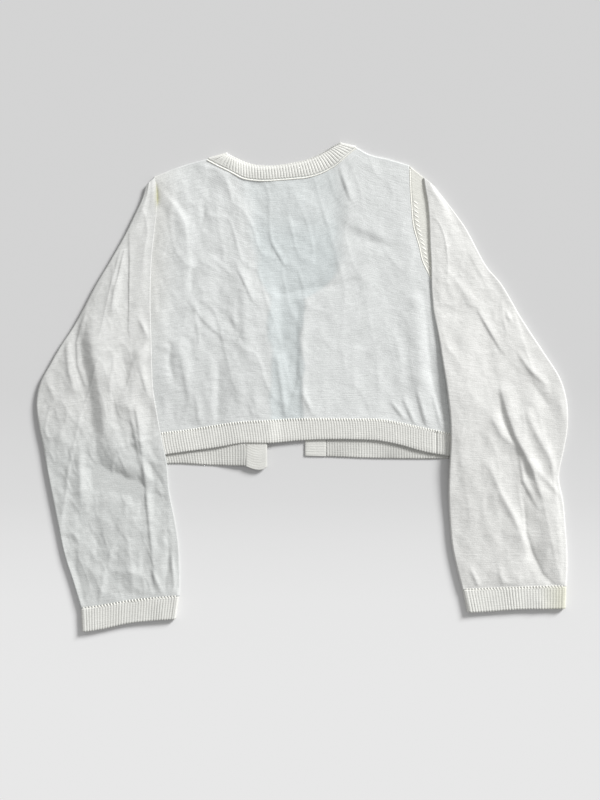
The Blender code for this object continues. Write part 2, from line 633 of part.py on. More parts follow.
def make_cuff(name, table, side):
    """A ribbed cuff: a closed flat tube whose top face has the ribs."""
    rows = np.array(table)
    width = rows[-1, 1] - rows[0, 1]
    radius = (CUFF_TOP - SLEEVE_LOW) / 2
    edge = WALL / 2 + radius
    places, raised = [], []

    def add(place, z, up=0.0):
        places.append((place / width, z))
        raised.append(up)

    for place in np.linspace(edge, width - edge, CUFF_LOW_STEPS):
        add(place, SLEEVE_LOW)
    for step in range(1, CUFF_TURN_STEPS + 1):
        angle = math.pi * step / (CUFF_TURN_STEPS + 1)
        add(width - edge + radius * math.sin(angle), SLEEVE_LOW + radius - radius * math.cos(angle))
    shares, ups = ribbed(CUFF_RIBS)
    for share, up in zip(shares, ups):
        add(width - edge - share * (width - 2 * edge), CUFF_TOP, up)
    for step in range(1, CUFF_TURN_STEPS + 1):
        angle = math.pi * step / (CUFF_TURN_STEPS + 1)
        add(edge - radius * math.sin(angle), SLEEVE_LOW + radius + radius * math.cos(angle))

    share, z = np.array(places).T
    top = [along(rows[:, 0], rows[:, column], share) for column in (1, 2)]
    low = [along(rows[:, 0], rows[:, column], share) for column in (3, 4)]
    levels = np.linspace(0.0, 1.0, CUFF_ROWS + 1)[:, None]
    x = top[0] + levels * (low[0] - top[0])
    y = top[1] + levels * (low[1] - top[1])
    middle = np.stack([side * x, y, z + 0 * y], axis=2)
    raised = np.array(raised)
    if side > 0:
        middle, raised = middle[:, ::-1], raised[::-1]
    return cloth(name, middle, make_material(name + "_knit", RIB), up=raised, closed=True)


def make_button(name, y):
    """A flat round button on the surface, its dished face down."""
    mesh = bmesh.new()
    rings = []
    for radius, z in BUTTON_PROFILE:
        if radius == 0.0:
            rings.append([mesh.verts.new((0.0, 0.0, z * MM))])
            continue
        turns = [2 * math.pi * side / BUTTON_SIDES for side in range(BUTTON_SIDES)]
        rings.append([mesh.verts.new((radius * math.cos(a) * MM, radius * math.sin(a) * MM, z * MM)) for a in turns])
    for one, other in zip(rings, rings[1:]):
        for side in range(BUTTON_SIDES):
            after = (side + 1) % BUTTON_SIDES
            corners = [one[side % len(one)], one[after % len(one)], other[after % len(other)], other[side % len(other)]]
            mesh.faces.new(list(dict.fromkeys(corners)))
    bmesh.ops.recalc_face_normals(mesh, faces=mesh.faces)
    data = bpy.data.meshes.new(name)
    mesh.to_mesh(data)
    mesh.free()
    button = bpy.data.objects.new(name, data)
    button.location = (BUTTON_X * MM, y * MM, 0.0)
    data.materials.append(make_material(name + "_plastic", BUTTON))
    bpy.context.collection.objects.link(button)
    return button


def main():
    """Clear the scene and make each piece."""
    for old in list(bpy.data.objects):
        bpy.data.objects.remove(old)
    make_back()
    make_fronts()
    make_hem_ribs()
    make_front_bands()
    make_neckband()
    make_sleeve("sleeve_left", LEFT_SLEEVE, LEFT_SLEEVE_COLUMNS, LEFT_SLEEVE_FOLDS, LEFT_CUFF, plain_edge, -1)
    make_sleeve("sleeve_right", RIGHT_SLEEVE, RIGHT_SLEEVE_COLUMNS, RIGHT_SLEEVE_FOLDS, RIGHT_CUFF, tucked_edge, 1)
    make_cuff("cuff_left", LEFT_CUFF, -1)
    make_cuff("cuff_right", RIGHT_CUFF, 1)
    for number, y in enumerate(BUTTON_YS, 1):
        make_button(f"button_{number}", y)


main()
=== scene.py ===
"""Open-knit cardigan, a child's, laid flat with its back up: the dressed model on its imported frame.

+X is the right of the laid garment, +Y its neck, +Z up, and the surface it lies on is z = 0.
Sizes in the tables are millimetres; Blender's own units are metres."""
import math
from types import SimpleNamespace

import bpy
import numpy as np
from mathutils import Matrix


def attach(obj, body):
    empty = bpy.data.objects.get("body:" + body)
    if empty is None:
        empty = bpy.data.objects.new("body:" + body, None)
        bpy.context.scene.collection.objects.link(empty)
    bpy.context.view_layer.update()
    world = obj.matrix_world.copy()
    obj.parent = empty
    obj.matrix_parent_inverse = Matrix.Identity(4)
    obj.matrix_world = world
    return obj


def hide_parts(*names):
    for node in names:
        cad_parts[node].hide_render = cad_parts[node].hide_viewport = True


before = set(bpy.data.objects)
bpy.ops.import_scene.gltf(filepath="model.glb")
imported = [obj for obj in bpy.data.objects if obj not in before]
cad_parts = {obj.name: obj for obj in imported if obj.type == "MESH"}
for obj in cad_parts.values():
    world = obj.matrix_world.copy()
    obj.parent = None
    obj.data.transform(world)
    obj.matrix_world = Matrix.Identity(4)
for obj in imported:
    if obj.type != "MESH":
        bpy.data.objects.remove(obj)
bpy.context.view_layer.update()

bl_info = {
    "name": "Open-knit cardigan",
    "version": (1, 0, 0),
    "blender": (4, 5, 0),
    "location": "3D View > Sidebar > Cardigan",
    "description": "Makes the pieces of a child's fine-knit cardigan laid flat on its front",
    "category": "Add Mesh",
}

MM = 0.001

# The camera is straight above the middle of the picture, in metres
CAMERA_PLACE = (-0.00225, -0.01125, 1.2)
TABLE_REACH = 3.0

# Heights of the layers at mid-wall, and how far from an edge they settle and folds fade in.
# A pair of values is where a change starts and where it is complete.
PANEL_MIDDLE = 0.6
BACK_MIDDLE = 2.6
EDGE_DROP = 0.5
EDGE_DROP_WIDTH = 12.0
EDGE_DROP_Y = (-25, -10)
SAG = 0.8
SAG_WIDTH = 14.0
SAG_STEP = 5.0
SAG_STARTS_Y = (-42, -18)
SAG_WIDENS_Y = (66, 86)
TIP_DIP = 0.8
SIDE_FADE = 22.0
SEAM_FADE = 5.0
SEAM_LAP = 0.2
PLAIN_LAP = 0.8
STRIP = BACK_MIDDLE - EDGE_DROP

# Front bands and what they do to the layers on them
BAND_LIFT = 2.3
LIFT_START_X = -80.0
LIFT_FULL_X = -53.0
LIFT_FALL_X = -31.0
LIFT_END_X = -18.0
BACK_LIFT_SHARE = 0.55
LIFT_TOP_Y = 70.0
LIFT_GONE_Y = 130.0
LEFT_BAND_X = (-50.8, -31.8)
RIGHT_BAND_X = (2.3, 21.1)

# Body outline: (y, x) of each side, down the armhole and the side seam
LEFT_SIDE = (
    (-70.0, -122.3), (-46.0, -127.1), (-24.0, -131.1), (-2.0, -134.8), (18.0, -135.8), (41.0, -136.4),
    (78.8, -137.3), (128.6, -135.1), (150.0, -132.6), (170.0, -131.5), (189.1, -133.7),
)
RIGHT_SIDE = (
    (-70.0, 134.5), (-45.0, 134.5), (20.0, 132.2), (64.0, 129.6), (74.0, 129.0), (90.0, 120.0),
    (103.5, 112.4), (111.8, 108.3), (128.3, 104.2), (142.0, 100.1), (168.2, 97.3), (199.6, 95.9),
)

# Shoulder lines, left then right, with a high place between that no cloth reaches: (x, y)
SHOULDERS = (
    (-133.7, 189.1), (-110.3, 198.3), (-86.2, 205.2), (-67.3, 210.2), (-50.0, 240.0), (15.0, 245.0),
    (33.1, 219.3), (47.6, 216.0), (57.7, 210.2), (76.7, 205.2), (95.9, 199.6),
)

# Neckband across the back: (seam x, seam y, free edge x, free edge y)
NECK_BACK = (
    (-85.1, 205.2, -67.3, 210.2), (-76.0, 200.2, -66.6, 209.8), (-67.3, 196.0, -63.6, 208.2),
    (-60.0, 192.2, -59.5, 206.2), (-53.5, 188.9, -53.8, 203.5), (-44.0, 187.2, -45.0, 200.7),
    (-34.5, 186.7, -35.5, 199.4), (-24.5, 187.2, -26.0, 199.4), (-14.3, 188.0, -16.0, 200.6),
    (-5.5, 188.8, -8.0, 202.0), (3.4, 189.7, 0.0, 203.7), (16.0, 193.4, 10.0, 207.1),
    (28.6, 200.2, 19.0, 211.5), (40.1, 210.0, 27.5, 216.6), (47.6, 216.0, 33.1, 219.3),
)
# Neckband down each front, from the shoulder to the front edge: the same columns
NECK_FRONT_LEFT = (
    (-85.1, 205.2, -67.3, 210.2), (-76.0, 180.0, -60.5, 184.0), (-68.0, 150.0, -54.0, 154.0),
    (-62.0, 120.0, -48.7, 126.0), (-57.0, 100.0, -44.5, 108.0), (-50.8, 86.0, -40.0, 96.0),
    (-43.0, 76.0, -36.5, 88.0), (-31.8, 69.0, -31.8, 82.0),
)
NECK_FRONT_RIGHT = (
    (47.6, 216.0, 33.1, 219.3), (54.0, 190.0, 40.0, 190.0), (57.0, 160.0, 43.5, 159.0),
    (55.0, 130.0, 42.0, 133.0), (47.0, 103.0, 35.5, 110.0), (35.0, 84.0, 26.0, 95.0),
    (21.1, 73.0, 15.0, 85.5), (2.3, 66.5, 2.3, 79.5),
)
NECK_RIBS = 49

# Hem ribs: (x, top y, bottom y)
BACK_HEM = (
    (-128.0, -41.6, -61.0), (-104.5, -38.9, -57.6), (-77.0, -34.6, -53.9), (-55.4, -31.6, -50.1),
    (-30.5, -30.2, -50.0), (1.4, -28.6, -47.4), (46.9, -28.9, -46.8), (67.6, -29.2, -47.8),
    (83.1, -31.5, -50.6), (112.0, -37.7, -58.4), (134.5, -42.3, -61.7),
)
FRONT_HEM_LEFT = (
    (-126.5, -49.4, -68.6), (-108.0, -49.6, -68.2), (-89.0, -50.0, -69.4), (-51.1, -50.8, -70.4),
)
FRONT_HEM_RIGHT = (
    (21.4, -43.0, -61.9), (62.4, -44.4, -63.5), (103.8, -45.0, -64.0), (134.2, -45.0, -64.0),
)
BACK_HEM_RIBS = 110
HEM_SEAM_X = 120.0
FRONT_HEM_LEFT_RIBS = 30
FRONT_HEM_RIGHT_RIBS = 47
LEFT_BAND_BOTTOM = ((-50.8, -70.8), (-43.4, -73.4), (-36.5, -73.7), (-31.8, -71.2))
RIGHT_BAND_BOTTOM = ((2.3, -61.3), (11.0, -61.6), (21.1, -61.9))
BAND_WALL = 1.1
BAND_COURSE = 2.3
LOWEST_HEM = 0.45
LOWEST_BAND = 0.6

# Largest folds of the back: (x1, y1, x2, y2, height, half width), below zero for a trough
BACK_FOLDS = (
    (-130.0, 178.0, -106.0, 146.0, 0.4, 8.0),
    (-106.0, 146.0, -102.0, 101.0, 0.3, 8.0),
    (-21.0, 25.0, -16.0, -26.0, 0.9, 6.0),
    (101.0, 76.0, 106.0, 8.0, 1.2, 8.0),
    (106.0, 8.0, 114.0, -24.0, 0.8, 8.0),
    (-76.0, 4.0, -76.0, -32.0, -0.4, 8.0),
    (42.0, 139.0, 78.0, 130.0, -0.4, 8.0),
)

# Right sleeve sections, in distance to the right. seam_y and outer_y: the section's two
# ends. fold: inner edge seen from above. tuck: where the cloth under that edge turns
# back to the armhole or, below the underarm, goes down. outer: outer edge. under and
# top: heights of the two layers at the fold.
RIGHT_SLEEVE_COLUMNS = ("seam_y", "outer_y", "fold", "tuck", "outer", "under", "top")
RIGHT_SLEEVE = (
    (199.3, 180.0, 108.5, 110.4, 119.0, 4.1, 5.7),
    (186.0, 172.0, 109.8, 113.0, 125.3, 4.5, 6.1),
    (170.0, 158.0, 112.2, 117.5, 136.2, 4.5, 6.1),
    (150.0, 142.0, 113.6, 120.0, 147.5, 4.5, 6.1),
    (130.0, 124.0, 114.2, 121.0, 157.1, 4.5, 6.1),
    (112.0, 108.0, 115.2, 121.5, 166.1, 4.5, 6.1),
    (98.0, 94.0, 115.4, 122.8, 178.1, 4.5, 6.1),
    (86.0, 80.0, 115.7, 126.2, 186.8, 4.5, 6.1),
    (76.0, 66.0, 116.5, 127.4, 194.6, 4.5, 6.1),
    (64.0, 50.0, 117.4, 130.9, 204.7, 4.5, 6.1),
    (44.0, 30.0, 121.7, 132.2, 218.0, 4.5, 6.1),
    (20.0, 8.0, 125.6, 133.4, 231.8, 4.5, 6.1),
    (-4.0, -14.0, 129.4, 134.4, 238.0, 4.5, 6.1),
    (-28.0, -36.0, 132.1, 135.2, 238.5, 4.6, 6.2),
    (-50.0, -56.0, 132.7, 135.7, 235.2, 4.6, 6.2),
    (-72.0, -80.0, 131.4, 135.7, 230.7, 4.6, 6.2),
    (-94.0, -102.0, 130.8, 134.6, 234.4, 3.2, 5.2),
    (-116.0, -122.0, 131.6, 135.4, 236.3, 2.2, 4.3),
    (-142.0, -146.0, 134.0, 137.8, 238.0, STRIP, 4.1),
    (-165.0, -165.0, 139.0, 142.8, 238.1, STRIP, 4.1),
    (-181.3, -178.1, 143.5, 147.3, 237.2, STRIP, 4.1),
)
RIGHT_SLEEVE_FOLDS = (
    (140.0, 56.0, 150.0, 38.0, 0.4, 9.0),
    (182.0, -6.0, 205.0, -71.0, 1.7, 7.0),
    (205.0, -71.0, 213.0, -94.0, 1.2, 7.0),
    (202.0, -25.0, 228.0, -81.0, 1.3, 7.0),
    (172.0, -30.0, 191.0, -53.0, 0.9, 6.0),
    (201.0, -118.0, 208.0, -148.0, -1.0, 8.0),
    (208.0, -148.0, 224.0, -177.0, -1.0, 8.0),
    (168.0, -71.0, 201.0, -142.0, 1.0, 8.0),
)

# Left sleeve sections, in distance to the left. Its two layers meet along the inner
# edge, which lies beside the body, so only its places below the hem are given.
LEFT_SLEEVE_COLUMNS = ("seam_y", "outer_y", "fold", "outer")
LEFT_SLEEVE = (
    (188.8, 181.0, None, 140.6),
    (174.0, 169.0, None, 144.4),
    (158.0, 154.0, None, 151.4),
    (140.0, 136.0, None, 160.3),
    (120.0, 114.0, None, 172.8),
    (100.0, 92.0, None, 185.9),
    (80.0, 72.0, None, 196.3),
    (62.0, 54.0, None, 206.4),
    (46.0, 36.0, None, 218.3),
    (34.0, 20.0, None, 227.4),
    (17.0, 4.0, None, 235.9),
    (-2.0, -14.0, None, 239.4),
    (-24.0, -34.0, None, 237.4),
    (-46.0, -54.0, None, 233.2),
    (-68.0, -76.0, None, 229.6),
    (-92.0, -100.0, 120.1, 224.8),
    (-116.0, -124.0, 115.4, 220.0),
    (-140.0, -150.0, 111.8, 214.5),
    (-164.0, -174.0, 110.7, 206.8),
    (-187.1, -198.3, 110.6, 199.3),
)
LEFT_SLEEVE_FOLDS = (
    (155.0, 145.0, 155.0, 62.0, -0.4, 8.0),
    (168.0, 90.0, 171.0, 71.0, 1.0, 6.0),
    (190.0, 78.0, 198.0, 38.0, -0.4, 7.0),
    (212.0, 40.0, 206.0, 0.0, 1.0, 7.0),
    (145.0, 28.0, 158.0, -16.0, 1.2, 6.0),
    (149.0, -20.0, 140.0, -99.0, 1.0, 6.0),
    (140.0, -99.0, 136.0, -177.0, 0.5, 5.0),
    (200.0, -53.0, 198.0, -105.0, 0.7, 8.0),
    (173.0, -67.0, 146.0, -97.0, -0.8, 10.0),
)

# Cuffs: (share across, top x, top y, bottom x, bottom y), from the inner edge out
LEFT_CUFF = (
    (0.0, 110.6, -187.4, 113.8, -207.9), (0.27, 134.6, -189.4, 136.0, -209.4),
    (0.51, 156.0, -191.8, 157.0, -211.8), (0.78, 180.0, -196.0, 180.0, -216.9),
    (1.0, 199.3, -198.6, 198.2, -219.5),
)
RIGHT_CUFF = (
    (0.0, 143.5, -181.6, 147.9, -201.9), (0.2, 162.0, -181.0, 165.5, -201.2),
    (0.5, 190.0, -180.0, 192.0, -199.2), (0.75, 213.5, -179.2, 214.0, -198.8),
    (1.0, 237.2, -178.4, 236.4, -198.5),
)
CUFF_RIBS = 34

# Sleeve walls at mid-wall, and how far the slopes along their edges run
SLEEVE_LOW = 0.6
OUTER_TOP = 3.8
LOWEST_TOP = 1.75
EDGE_RUN = 22.0
TIP_THIN = 0.5
TURN_HANDLE = 1.6
UNDERARM_Y = 75.0
HEM_CLEAR_Y = -75.0
LANDING = 4.4
LOW_INSET = 1.2
FOLD_FADE = 7.0
EDGE_FADE = 9.0
WIDE_SECTION = 40.0
ARMHOLE_DROP = 1.55
ARMHOLE_THIN = 0.55
FOLD_RISE = 1.4
STRIP_TIP = 0.6
PLAIN_EDGE_RUN = 11.0
INNER_DROP = 0.7
ARMHOLE_RUN = 17.0
CUFF_TOP = 4.0
CUFF_HOLLOW = 0.35
CUFF_RADIUS = (CUFF_TOP - SLEEVE_LOW) / 2

# How strong the painted olive shadow is on the left sleeve at its tip, in the gap at the armhole, from 0 to
# 1
TIP_PAINTED_SHADOW = 0.5

# Sewing: each kind of stitch as (length, width, height), how far apart its stitches stand,
# and how high their middles are above the back, a cuff or the armhole's strip
LOOP_STITCH = (2.4, 1.3, 0.9)
NECK_STITCH = (1.8, 1.4, 1.0)
RIGHT_SEAM_STITCH = (2.3, 1.5, 0.75)
LEFT_SEAM_STITCH = (1.5, 0.9, 0.4)
NARROWING_STITCH = (5.4, 1.3, 0.45)
NECK_PITCH = 1.2
RIGHT_SEAM_PITCH = 1.5
LEFT_SEAM_PITCH = 2.6
ON_BACK = 0.58
ON_CUFF = 0.2
ON_STRIP = 0.4
UPRIGHT = 1.45
HEM_STITCHES = 262.0
CUFF_STITCHES = 93.5

# Steps of the fine grids; a pair is across and down
LOW_STEPS = 40
TURN_STEPS = 9
CUFF_TURN_STEPS = 8
CUFF_LOW_STEPS = 48
TOP_STEPS = 92
SLEEVE_ROWS = 236
BACK_STEPS = (204, 196)
FRONT_STEPS = (60, 120)
BAND_STEPS = (34, 260)
NECKLINE_STEPS = 120
NECK_ROWS = 12
STEPS_PER_RIB = 8
RIB_ROWS = 16

# Creases: points along the line, height (below zero for a trough), and how far the slope runs
# on its left or lower side and on its right or upper side
BACK_CREASES = (
    (((33.8, 195.8), (38.2, 183.2), (42.8, 169.7)), 0.9, 1.2, 4.0),
    (((24.0, 190.0), (30.0, 172.0)), 0.4, 2.0, 4.0),
    (((45.0, 146.0), (62.0, 139.0), (80.0, 131.0)), 0.7, 4.0, 7.0),
    (((41.9, 137.1), (60.8, 130.8), (78.8, 127.1)), -0.3, 6.0, 3.0),
    (((-130.1, 178.7), (-114.8, 163.3), (-105.8, 147.2), (-102.2, 112.0), (-103.0, 101.2)), 0.95, 10.0, 3.0),
    (((-88.7, 163.3), (-88.7, 147.2)), -0.8, 3.0, 4.0),
    (((-78.0, 170.0), (-74.0, 140.0), (-70.0, 118.0)), 0.5, 3.0, 5.0),
    (((-99.5, 106.7), (-99.5, 86.0)), -0.8, 3.0, 4.0),
    (((-99.0, 74.0), (-88.0, 60.0), (-72.0, 45.0)), 0.6, 1.6, 5.0),
    (((-70.0, 66.0), (-60.0, 52.0), (-52.0, 38.0)), -0.6, 4.0, 3.0),
    (((-118.0, 38.0), (-120.0, 22.0), (-116.0, 8.0)), -0.9, 3.0, 3.0),
    (((-112.0, 40.0), (-106.0, 14.0), (-101.0, -14.0)), 0.8, 3.0, 5.0),
    (((-96.0, -6.0), (-92.0, -36.0)), 0.6, 2.0, 3.0),
    (((-58.1, 106.7), (-51.8, 94.0), (-44.6, 77.9)), 0.8, 1.1, 4.0),
    (((-28.4, 132.8), (-23.9, 123.8), (-16.7, 111.2)), 0.8, 1.1, 4.0),
    (((-18.0, 155.0), (-6.0, 151.0), (8.0, 145.0)), -0.3, 4.0, 4.0),
    (((-20.0, 84.0), (0.0, 88.0), (30.0, 92.0), (46.0, 96.0)), -0.85, 6.0, 4.0),
    (((-76.0, 22.0), (-76.0, 2.2), (-76.0, -32.9)), -0.6, 3.0, 3.5),
    (((-50.9, 87.8), (-53.6, 60.8), (-50.0, 31.9)), 0.9, 5.0, 7.0),
    (((-22.9, 25.7), (-18.4, -2.2), (-14.8, -29.2)), 0.7, 2.0, 3.0),
    (((-3.0, 60.0), (-2.0, 28.0), (-4.0, 2.0), (-10.0, -14.0)), 0.7, 1.4, 6.0),
    (((0.0, -5.0), (9.0, -24.0)), 0.6, 1.5, 3.0),
    (((84.0, 46.0), (88.0, 24.0), (90.0, 8.0)), 0.7, 5.0, 5.0),
    (((109.4, 77.9), (115.7, 8.6), (123.8, -20.2)), -0.6, 3.0, 3.0),
    (((45.0, 30.0), (48.0, -20.0)), 0.3, 4.0, 5.0),
    (((66.0, 40.0), (70.0, -20.0)), 0.35, 3.0, 5.0),
    (((80.5, -14.0), (91.0, -27.4)), 0.8, 1.5, 2.5),
    (((91.4, -11.0), (101.2, -33.8)), 0.9, 1.5, 3.0),
    (((103.0, -3.1), (112.0, -36.5)), 1.0, 1.5, 3.0),
    (((117.5, -8.6), (124.7, -36.5)), 0.8, 1.5, 2.5),
    (((-45.0, -8.0), (-38.0, -28.0)), 0.4, 3.0, 4.0),
)
LEFT_SLEEVE_CREASES = (
    (((-195.0, 72.0), (-190.0, 46.0), (-183.0, 7.0), (-178.0, -28.0), (-171.0, -58.0), (-165.0, -70.0)),
     3.3, 9.0, 19.0),
    (((-204.0, 60.0), (-199.0, 28.0), (-192.0, 2.0), (-189.0, -30.0), (-184.0, -70.0)), -1.6, 17.0, 6.0),
    (((-184.0, -74.0), (-162.0, -83.0), (-136.0, -93.0)), -3.2, 16.0, 7.0),
    (((-148.0, -56.0), (-136.0, -72.0), (-122.0, -94.0)), -1.1, 6.0, 3.0),
    (((-155.2, 149.8), (-154.3, 113.0), (-155.2, 51.8)), 0.8, 1.4, 11.0),
    (((-159.8, 122.0), (-167.0, 90.5)), 0.8, 1.3, 2.5),
    (((-163.0, 124.0), (-171.0, 92.0)), 0.5, 1.3, 2.5),
    (((-167.8, 91.4), (-170.6, 69.8)), 0.6, 1.5, 2.5),
    (((-190.3, 79.7), (-197.6, 38.2)), -0.4, 3.0, 3.0),
    (((-196.7, 59.9), (-202.1, 41.0), (-201.2, 20.2), (-194.8, 2.2)), 0.9, 1.5, 3.5),
    (((-212.0, 39.1), (-209.2, 14.8), (-204.8, -0.5)), 0.9, 2.0, 4.0),
    (((-230.0, 7.7), (-221.8, -11.2)), 0.6, 2.5, 3.0),
    (((-147.2, 62.6), (-137.5, 44.0)), 1.1, 2.2, 4.0),
    (((-136.5, 40.0), (-152.6, 23.2)), 1.2, 4.0, 2.0),
    (((-146.2, 20.2), (-139.1, -5.9)), 0.9, 2.0, 3.5),
    (((-162.0, 30.0), (-156.0, -4.0)), -0.8, 5.0, 4.0),
    (((-155.0, -20.0), (-149.0, -48.0), (-144.0, -72.0)), 0.7, 1.5, 3.0),
    (((-171.5, 0.5), (-167.0, -29.2), (-157.1, -56.2)), -0.6, 4.0, 4.0),
    (((-149.0, -19.4), (-143.6, -59.9), (-139.8, -99.5), (-135.2, -141.8), (-132.3, -176.8)), 1.0, 1.3, 4.0),
    (((-200.2, -52.6), (-198.5, -104.9)), 0.9, 3.0, 3.0),
    (((-184.0, -96.0), (-187.0, -125.0), (-184.0, -162.0)), -1.7, 20.0, 18.0),
    (((-180.0, -110.0), (-176.0, -160.0)), 0.4, 4.0, 6.0),
    (((-160.0, -120.0), (-156.0, -165.0)), 0.4, 3.0, 5.0),
    (((-122.0, -118.0), (-120.0, -150.0), (-123.0, -180.0)), -0.7, 2.5, 3.0),
    (((-135.5, -162.5), (-126.5, -183.2)), 0.9, 2.0, 2.0),
    (((-117.5, -149.0), (-114.8, -176.8)), 0.9, 2.0, 2.0),
)
RIGHT_SLEEVE_CREASES = (
    (((150.0, 120.0), (165.0, 92.0)), 0.5, 3.0, 4.0),
    (((136.0, 98.0), (144.0, 86.0), (153.0, 76.0)), 0.8, 5.0, 4.0),
    (((158.0, 68.0), (170.6, 46.4), (178.0, 34.0)), 0.9, 1.4, 4.0),
    (((158.0, 36.0), (170.0, 12.0), (182.0, -14.0)), -0.9, 12.0, 9.0),
    (((183.2, 68.0), (186.8, 59.0)), 0.6, 2.0, 2.0),
    (((194.8, 28.4), (204.8, 14.8), (218.2, 3.1)), 1.1, 2.0, 4.0),
    (((206.0, 4.0), (222.0, -18.0)), -0.9, 5.0, 4.0),
    (((178.0, -2.0), (183.0, -22.0), (190.0, -42.0), (204.8, -70.7), (214.0, -96.0)), 1.35, 1.6, 5.0),
    (((176.0, -8.0), (180.0, -30.0), (198.0, -68.0), (208.0, -94.0)), -0.8, 3.5, 2.5),
    (((170.0, -27.0), (178.0, -43.0), (192.0, -54.0)), 0.6, 1.8, 3.5),
    (((194.0, -56.0), (198.0, -84.0), (211.0, -107.5)), 1.0, 1.6, 3.5),
    (((202.1, -24.8), (210.2, -42.8), (222.8, -65.2), (228.2, -81.5)), 0.8, 2.5, 4.0),
    (((210.2, -74.2), (232.7, -97.7)), 1.0, 2.5, 3.0),
    (((224.0, -96.0), (228.0, -126.0), (231.0, -158.0)), 1.5, 17.0, 6.0),
    (((199.0, -106.0), (200.5, -131.0), (206.5, -149.0), (215.5, -167.8), (225.0, -177.0)), -1.0, 4.5, 2.0),
    (((167.8, -70.7), (177.8, -95.0), (188.6, -114.8), (200.0, -141.8)), 0.9, 3.0, 3.0),
    (((160.0, -110.0), (170.0, -140.0)), 0.3, 4.0, 6.0),
    (((151.7, -164.0), (158.0, -179.0)), 0.8, 2.0, 2.5),
    (((176.0, -162.0), (180.0, -178.0)), 0.6, 2.0, 2.5),
)

# Crumpling of the cloth: (lean to the side, scale of y, below 1 where it is longer down the
# cloth than across, size across, weight, whether it is a net of narrow ridges and not humps)
CRUMPLES = (
    (0.0, 0.55, 16.0, 0.5, False), (0.2, 0.6, 7.0, 0.3, False), (0.0, 1.0, 3.2, 0.12, False),
    (0.22, 0.42, 17.0, 0.5, True), (-0.3, 0.7, 9.0, 0.22, True),
)


def smooth(share):
    """Go from 0 to 1 with level ends."""
    share = np.clip(share, 0.0, 1.0)
    return share * share * (3 - 2 * share)


def ramp(at, start, end):
    """Go from 0 at start to 1 at end with level ends; end may be the lower of the two."""
    return smooth((at - start) / (end - start))


def between(start, end, share):
    """The value that lies a share of the way from start to end."""
    return start + share * (end - start)


def spot(x, y, width, length, power=2):
    """A soft spot, 1 at its middle, from the distances to it; a high power squares its ends."""
    return np.exp(-(x / width) ** 2 - (y / length) ** power)


def along(places, values, at):
    """Read a smooth curve through a table's rows at one or more places."""
    places = np.asarray(places, float)
    values = np.asarray(values, float)
    slopes = np.gradient(values, places)
    at = np.clip(at, places[0], places[-1])
    left = np.clip(np.searchsorted(places, at) - 1, 0, len(places) - 2)
    span = places[left + 1] - places[left]
    share = (at - places[left]) / span
    rise = smooth(share)
    bend_in = share * (1 - share) ** 2 * span
    bend_out = share ** 2 * (share - 1) * span
    base = values[left] * (1 - rise) + values[left + 1] * rise
    return base + bend_in * slopes[left] + bend_out * slopes[left + 1]


def read_table(rows, column, at, key=0):
    """Read one column of a table along another."""
    rows = np.array(rows, float)
    return along(rows[:, key], rows[:, column], at)


def fold_height(folds, x, y):
    """Add up the wide folds of a table at some places."""
    total = np.zeros(np.broadcast(x, y).shape)
    for x1, y1, x2, y2, height, width in folds:
        length = math.hypot(x2 - x1, y2 - y1)
        ux, uy = (x2 - x1) / length, (y2 - y1) / length
        run = (x - x1) * ux + (y - y1) * uy
        off = (x - x1) * uy - (y - y1) * ux
        past = np.maximum(np.maximum(-run, run - length), 0.0)
        total = total + height * spot(off, past, width, width)
    return total


def crease_height(creases, x, y):
    """Add up the creases of a table: each follows its points and fades at both ends."""
    total = np.zeros(np.broadcast(x, y).shape)
    depth = settings().crease_depth
    for points, height, left_run, right_run in creases:
        points = np.array(points, float)
        lengths = np.hypot(*np.diff(points, axis=0).T)
        best = np.full(total.shape, 1e9)
        offset = np.zeros(total.shape)
        place = np.zeros(total.shape)
        for number, (start, end) in enumerate(zip(points[:-1], points[1:])):
            ux, uy = (end - start) / lengths[number]
            run = (x - start[0]) * ux + (y - start[1]) * uy
            off = (x - start[0]) * uy - (y - start[1]) * ux
            beyond = run - np.clip(run, 0.0, lengths[number])
            distance = np.hypot(off, beyond)
            nearer = distance < best
            best = np.where(nearer, distance, best)
            offset = np.where(nearer, off, offset)
            place = np.where(nearer, lengths[:number].sum() + run, place)
        whole = lengths.sum()
        width = between(right_run, left_run, smooth(offset / 3 + 0.5))
        taper = 0.45 + 0.55 * np.sin(math.pi * np.clip(place / whole, 0.0, 1.0))
        total = total + depth * height * taper * np.exp(-(best / width) ** 1.6)
    return total


def uneven(x, y, size, seed):
    """Smooth random heights between -1 and 1 whose humps are about size across."""
    lattice = np.random.default_rng(seed).uniform(-1.0, 1.0, (128, 128))
    px, py = np.asarray(x) / size + 50.3, np.asarray(y) / size + 50.7
    ix, iy = np.floor(px).astype(int), np.floor(py).astype(int)
    fx, fy = smooth(px - ix), smooth(py - iy)
    corner = lattice[ix % 128, iy % 128] * (1 - fx) + lattice[(ix + 1) % 128, iy % 128] * fx
    other = lattice[ix % 128, (iy + 1) % 128] * (1 - fx) + lattice[(ix + 1) % 128, (iy + 1) % 128] * fx
    return corner * (1 - fy) + other * fy


def crumple(x, y, seed):
    """The small unevenness of worn, washed knit, longer down the cloth than across."""
    total = 0.0
    for number, (lean, y_scale, size, weight, is_vein) in enumerate(CRUMPLES):
        humps = uneven(x + lean * y, y * y_scale, size, seed + number)
        total = total + weight * ((1 - np.abs(humps)) ** 5 if is_vein else humps)
    return total - 0.25


def band_lift(x, y, falls):
    """Height that the buttons give the left front's edge and, over it, the back."""
    rise = ramp(x, LIFT_START_X, LIFT_FULL_X)
    if falls:
        rise = rise * (1 - ramp(x, LIFT_FALL_X, LIFT_END_X)) * BACK_LIFT_SHARE
    return BAND_LIFT * rise * (1 - ramp(y, LIFT_TOP_Y, LIFT_GONE_Y))


def front_middle(x, y):
    """Height of the front layer's mid-wall."""
    return PANEL_MIDDLE + np.where(x < LIFT_END_X, band_lift(x, y, False), 0.0)


